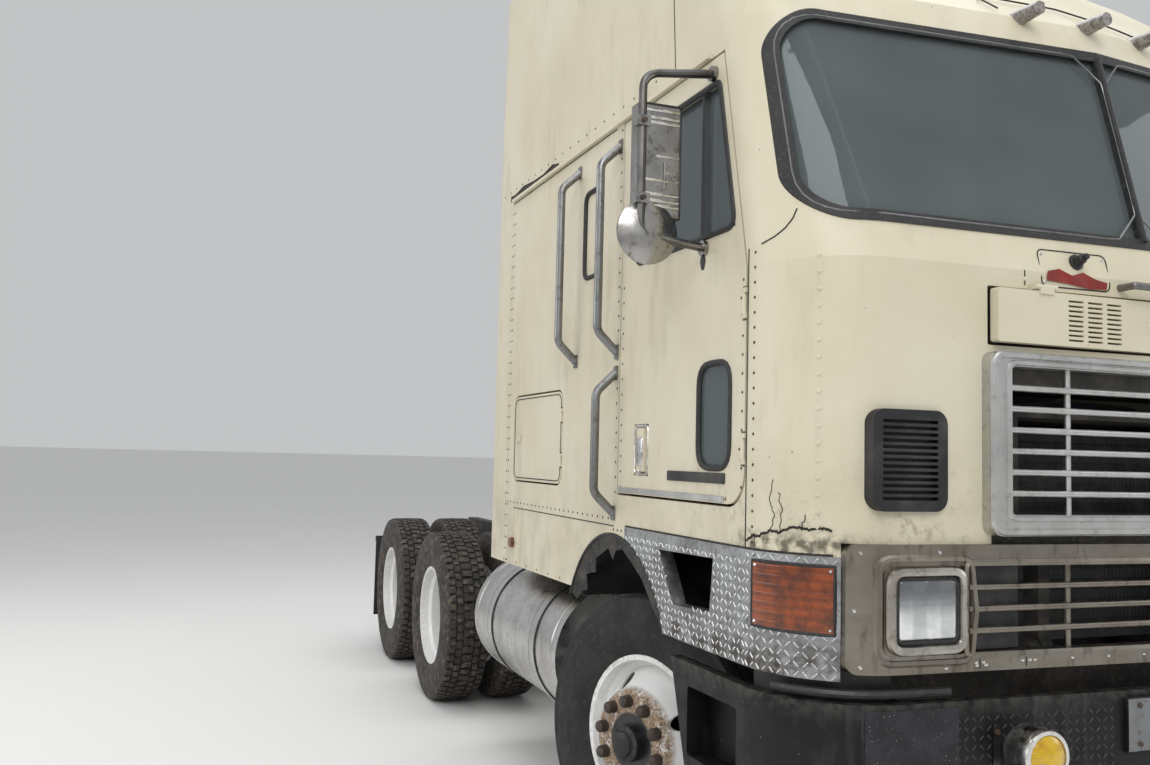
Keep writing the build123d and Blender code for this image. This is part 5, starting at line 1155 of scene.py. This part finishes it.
lens_frames, lens_sheets, lens_screws = bmesh.new(), bmesh.new(), Studs()
for side, label in SIDES:
    (a0, a1), (z0, z1) = LENS_DEG, LENS_Z
    low_edge, front_edge = evenly((a0, z0), (a1, z0), 9), evenly((a1, z0), (a1, z1), 5)
    high_edge, rear_edge = evenly((a1, z1), (a0, z1), 9), evenly((a0, z1), (a0, z0), 5)
    route = low_edge[:-1] + front_edge[:-1] + high_edge[:-1] + rear_edge[:-1]
    tube(lens_frames, [lens_place(side, a, z)[0] for a, z in route], 0.0055, closed=True)
    wrap(lens_sheets, lambda a, z: lens_place(side, a, z), (LENS_DEG, LENS_Z), 0.003, 16)
    corners = [(a, z) for a in (a0 + 2.2, a1 - 2.2) for z in (z0 + 0.012, z1 - 0.012)]
    dots(lens_screws, lambda a, z: lens_place(side, a, z), corners, 0.0050, 0.0030, lift=0.003)
piece("corner_lamp_frames", lens_frames, RUBBER, "cab")
piece("corner_lamp_lenses", lens_sheets, AMBER, "cab")
piece("corner_lamp_screws", lens_screws.mesh, CHROME, "cab")

# Tread plate: crossed lozenges in rows, on the corner panels, the deck and the bumper's middle
PITCH = 0.025
DECK_EDGE, ABOVE_DECK_Z = 0.02, 2.0
LOZENGE = (0.0225, 0.0062, 0.0024)


def lozenges(target, node, places, way, level):
    """Raised lozenges of alternate slant where rows of places meet a node."""
    for row, line in enumerate(places):
        studs = Studs()
        for column, start in enumerate(line):
            found = hit(node, start, way)
            if not found or abs(found[1].dot(way)) < 0.3:
                continue
            slant = 1 if (row + column) % 2 else -1
            up = found[1].cross(level).normalized()
            studs.bar(found[0], found[1], level + up * slant * 0.95, *LOZENGE)
        pour(target, studs.mesh)


def grid(u0, u1, v0, v1):
    """Rows of places one pitch apart."""
    return [[(u0 + PITCH * i, v0 + PITCH * j) for i in range(int((u1 - u0) / PITCH))]
            for j in range(int((v1 - v0) / PITCH))]


plates = bmesh.new()
for side, label in SIDES:
    side_grid = [[P(side * FAR_OUT, y, z) for y, z in row] for row in grid(-0.95, -0.10, 0.965, 1.275)]
    lozenges(plates, "fender_plates", side_grid, WAY_IN[side], BACK)
    for row in range(13):
        studs = Studs()
        for column in range(16):
            degrees = 16.0 + 4.8 * column
            found = on_corner("fender_plates", side, degrees, 0.965 + PITCH * row)
            if found:
                angle = math.radians(degrees)
                level = Vector((side * math.cos(angle), math.sin(angle), 0))
                slant = 1 if (row + column) % 2 else -1
                studs.bar(found[0], found[1], level + UP * slant * 0.95, *LOZENGE)
        pour(plates, studs.mesh)
piece("tread_lozenges", plates, LOZENGE_METAL, "cab")
bumper_studs = bmesh.new()
for x0, x1 in ((-0.72, -0.16), (0.16, 0.72)):
    rows = [[P(x, FAR_FRONT, z) for x, z in row] for row in grid(x0, x1, 0.50, 0.89)]
    lozenges(bumper_studs, "front_bumper", rows, BACK, Vector((1, 0, 0)))
piece("bumper_lozenges", bumper_studs, RAISED_BLACK, "chassis")
deck_low, deck_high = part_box("deck_plate")
deck_studs = bmesh.new()
deck_grid = grid(deck_low.x + DECK_EDGE, deck_high.x - DECK_EDGE, deck_low.y + DECK_EDGE,
                 deck_high.y - DECK_EDGE)
deck_rows = [[Vector((x, y, ABOVE_DECK_Z)) for x, y in row] for row in deck_grid]
lozenges(deck_studs, "deck_plate", deck_rows, -UP, Vector((1, 0, 0)))
piece("deck_lozenges", deck_studs, LOZENGE_METAL, "chassis")

# Mirrors: ribbed chrome heads in front of their glass, dark bent arms with clamps, chrome bowls below
MIRROR_X, ARM_Y = 1.420, -0.705
ARM_PATH = ((1.196, -0.735, 2.728), (MIRROR_X, ARM_Y, 2.706), (MIRROR_X, ARM_Y, 2.205),
            (1.196, -0.690, 2.185))
HEAD_X0, HEAD_X1, HEAD_FACE_Y = 1.286, 1.425, -0.695
HEAD_Z0, HEAD_Z1 = 2.264, 2.618
DOUBLE_RIBS_Z = (2.560, 2.576, 2.600, 2.300, 2.316, 2.336)
SHORT_RIBS = ((2.455, 0.60), (2.405, 0.35), (2.380, 0.90))
CLAMPS_Z = (2.315, 2.555)
for side, label in SIDES:
    body = "door_" + label + "_body"
    arm, ribs, edge, glass, clamps = bmesh.new(), bmesh.new(), bmesh.new(), bmesh.new(), Studs()
    tube(arm, rounded([P(side * x, y, z) for x, y, z in ARM_PATH], 0.055, steps=10), 0.0128, sides=16)
    for z in DOUBLE_RIBS_Z:
        tube(ribs, [P(side * x, HEAD_FACE_Y, z) for x in (HEAD_X0 + 0.004, HEAD_X1 - 0.004)], 0.0052)
    for z, share in SHORT_RIBS:
        tube(ribs, [P(side * x, HEAD_FACE_Y, z) for x in (HEAD_X0 + 0.004, HEAD_X0 + 0.135 * share)],
             0.0042)
    tube(ribs, [P(side * 1.340, HEAD_FACE_Y, z) for z in (2.440, 2.360)], 0.0030)
    x0, x1 = sorted((side * HEAD_X0, side * HEAD_X1))
    rim = [P(x, HEAD_FACE_Y + 0.002, z)
           for x, z in ((x0, HEAD_Z0), (x1, HEAD_Z0), (x1, HEAD_Z1), (x0, HEAD_Z1))]
    tube(edge, rounded(rim, 0.008, closed=True), 0.0045, closed=True)
    side_box(edge, side, (HEAD_X0 + 0.006, HEAD_X1 - 0.006), (-0.690, -0.645), (2.228, 2.264), 0.006, 2)
    side_box(glass, side, (HEAD_X0 + 0.008, HEAD_X1 - 0.008), (-0.635, -0.632), (2.272, 2.610), 0.001, 1)
    for z in CLAMPS_Z:
        clamps.hexagon(P(side * MIRROR_X, -0.7205, z), FORWARD, 0.009, 0.008)
    piece("mirror_arm_" + label, arm, ARM_STEEL, body)
    piece("mirror_ribs_" + label, ribs, CHROME, body)
    piece("mirror_head_edge_" + label, edge, BLACK_PLASTIC, body)
    piece("mirror_glass_" + label, glass, CHROME, body)
    piece("mirror_bolts_" + label, clamps.mesh, BOLT, body)

# Door furniture: latch in its dish, lock, blank trim bar, plug and lower strip
LATCH_DISH = (-0.292, -0.184, 1.471, 1.639)
for side, label in SIDES:
    body = "door_" + label + "_body"
    latch = bmesh.new()
    side_bead(latch, side, LATCH_DISH, 0.02, 0.005, 0.003)
    side_box(latch, side, (1.186, 1.200), (-0.264, -0.212), (1.500, 1.598), 0.006, 3)
    piece("door_latch_" + label, latch, CHROME, body)
    keys = Studs()
    keys.dome(P(side * 1.199, -0.238, 1.480), -WAY_IN[side], 0.009, 0.004, 14, 6)
    piece("door_lock_" + label, keys.mesh, CHROME, body)
    trim = bmesh.new()
    side_box(trim, side, (1.1895, 1.1950), (-0.837, -0.454), (1.456, 1.488), 0.003, 2)
    piece("door_trim_bar_" + label, trim, BLACK_PLASTIC, body)
    plug = Studs()
    plug.bar(P(side * SKIN_X, -0.677, 2.145), -WAY_IN[side], UP, 0.060, 0.036, 0.006)
    piece("door_plug_" + label, plug.mesh, BLACK_PLASTIC, body)
    strip = bmesh.new()
    side_box(strip, side, (1.1905, 1.1945), (-0.83, -0.05), (1.402, 1.420), 0.001, 1)
    piece("door_strip_" + label, strip, FRAME_METAL, body)

# Seats and bunk: stuffed pieces in woven cloth
CLOTH_FACET, CROWN = 0.022, 0.018
SEAT_X = 0.700


def apply_modifiers(made):
    """The piece's mesh with its modifiers worked in."""
    shown = made.evaluated_get(bpy.context.evaluated_depsgraph_get())
    data = bpy.data.meshes.new_from_object(shown)
    made.modifiers.clear()
    made.data = data


def cushion(name, low, high, bevel):
    """A box of cloth, crowned on top and padded."""
    mesh = bmesh.new()
    box(mesh, low, high, bevel, 4)
    made = piece(name, mesh, CLOTH, None, smooth=60.0)
    remesh = made.modifiers.new("Remesh", "REMESH")
    remesh.mode = "VOXEL"
    remesh.voxel_size = CLOTH_FACET
    remesh.use_smooth_shade = True
    middle = (low + high) / 2
    half = (high - low) / 2
    bpy.context.view_layer.objects.active = made
    apply_modifiers(made)
    for vert in made.data.vertices:
        away = vert.co - middle
        share = [min(1.0, abs(away[i]) / half[i]) for i in range(3)]
        crown = (1 - share[0] ** 2) * (1 - share[1] ** 2) + (1 - share[2] ** 2) * 0.3
        vert.co += UP * (CROWN * crown * (1 if away.z > 0 else 0))
    made.data.update()
    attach(made, "cab")
    return made


for side, label in SIDES:
    x = side * SEAT_X
    cushion("seat_cushion_" + label, P(x - 0.235, -0.480, 1.640), P(x + 0.235, 0.000, 1.780), 0.045)
    cushion("seat_back_" + label, P(x - 0.225, -0.060, 1.790), P(x + 0.225, 0.060, 2.450), 0.045)
    stand = bmesh.new()
    box(stand, P(x - 0.120, -0.320, 1.327), P(x + 0.120, -0.080, 1.642), 0.012, 2)
    piece("seat_stand_" + label, stand, BLACK_PLASTIC, "cab")
mattress = cushion("bunk_mattress", P(-1.130, 0.540, 1.861), P(1.130, 1.570, 2.010), 0.04)
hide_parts("seats")

# Dashboard: hooded dials and switches
dials, dial_rims, switches = bmesh.new(), bmesh.new(), Studs()
for index in range(5):
    centre = P(0.40 + index * 0.11, -0.989, 1.99)
    turned(dials, [(0.0, 0.0), (0.0, 0.042)], centre, BACK, steps=28)
    turned(dial_rims, [(0.0, 0.042), (0.006, 0.046), (0.0, 0.050)], centre, BACK, steps=28)
for index in range(14):
    switches.hexagon(P(-0.35 + index * 0.045, -0.990, 1.90), BACK, 0.009, 0.012, 12)
piece("dial_faces", dials, LAMP_GLASS, "cab")
piece("dial_rims", dial_rims, CHROME, "cab")
piece("dash_switches", switches.mesh, BLACK_PLASTIC, "cab")

# Studio: pale floor, soft light from four sides, pale backdrop
FLOOR_HALF = 400.0
floor = bpy.data.meshes.new("floor")
flat = bmesh.new()
bmesh.ops.create_grid(flat, x_segments=1, y_segments=1, size=FLOOR_HALF)
flat.to_mesh(floor)
flat.free()
floor_piece = bpy.data.objects.new("studio_floor", floor)
bpy.context.scene.collection.objects.link(floor_piece)
floor.materials.append(FLOOR_PAINT)


def softbox(name, place, target, size, watts):
    """A wide soft lamp turned to a place."""
    light = bpy.data.lights.new(name, "AREA")
    light.shape = "RECTANGLE"
    light.size, light.size_y = size
    light.energy = watts
    holder = bpy.data.objects.new(name, light)
    bpy.context.scene.collection.objects.link(holder)
    holder.location = place
    holder.rotation_mode = "QUATERNION"
    holder.rotation_quaternion = (target - place).to_track_quat("-Z", "Y")


TARGET = P(0.0, 0.5, 1.8)
softbox("key", P(-4.5, -7.5, 7.5), TARGET, (6.0, 5.0), 420.0)
softbox("top", P(0.0, 0.5, 9.0), TARGET, (9.0, 9.0), 420.0)
softbox("side", P(-9.0, 3.0, 4.0), TARGET, (6.0, 4.0), 170.0)
softbox("far_side", P(8.5, -2.0, 5.0), TARGET, (6.0, 5.0), 170.0)

world = bpy.data.worlds.new("studio")
bpy.context.scene.world = world
world.use_nodes = True
ground = world.node_tree
for old in list(ground.nodes):
    ground.nodes.remove(old)
rays = add(ground, "LightPath")
dim = add(ground, "Background", {"Color": linear("DADCDF"), "Strength": 0.80})
backdrop = add(ground, "Background", {"Color": linear("C2C4C5"), "Strength": 1.0})
seen = rays.outputs["Is Camera Ray"]
both = add(ground, "MixShader", {0: seen, 1: dim.outputs[0], 2: backdrop.outputs[0]})
add(ground, "OutputWorld", {0: both.outputs[0]})

# Camera at the photograph's place, worked out from the truck's own measures
CAMERA_AT = P(-2.6865, -3.5144, 1.5274)
YAW, PITCH_UP, ROLL = 0.362775, 0.0715897, -0.0247733
SENSOR_MM, FOCAL_PIXELS, FRAME_WIDTH = 36.0, 1026.585, 1150.0
ahead = Vector((math.sin(YAW) * math.cos(PITCH_UP), math.cos(YAW) * math.cos(PITCH_UP), math.sin(PITCH_UP)))
level = Vector((math.cos(YAW), -math.sin(YAW), 0.0))
down = ahead.cross(level)
across = level * math.cos(ROLL) + down * math.sin(ROLL)
below = down * math.cos(ROLL) - level * math.sin(ROLL)
lens_data = bpy.data.cameras.new("camera")
lens_data.lens = SENSOR_MM * FOCAL_PIXELS / FRAME_WIDTH
lens_data.sensor_width = SENSOR_MM
camera = bpy.data.objects.new("camera", lens_data)
bpy.context.scene.collection.objects.link(camera)
turn = Matrix((across, -below, -ahead)).transposed()
camera.rotation_mode = "QUATERNION"
camera.rotation_quaternion = turn.to_quaternion()
camera.location = CAMERA_AT
bpy.context.scene.camera = camera
bpy.context.scene.view_settings.view_transform = "Standard"
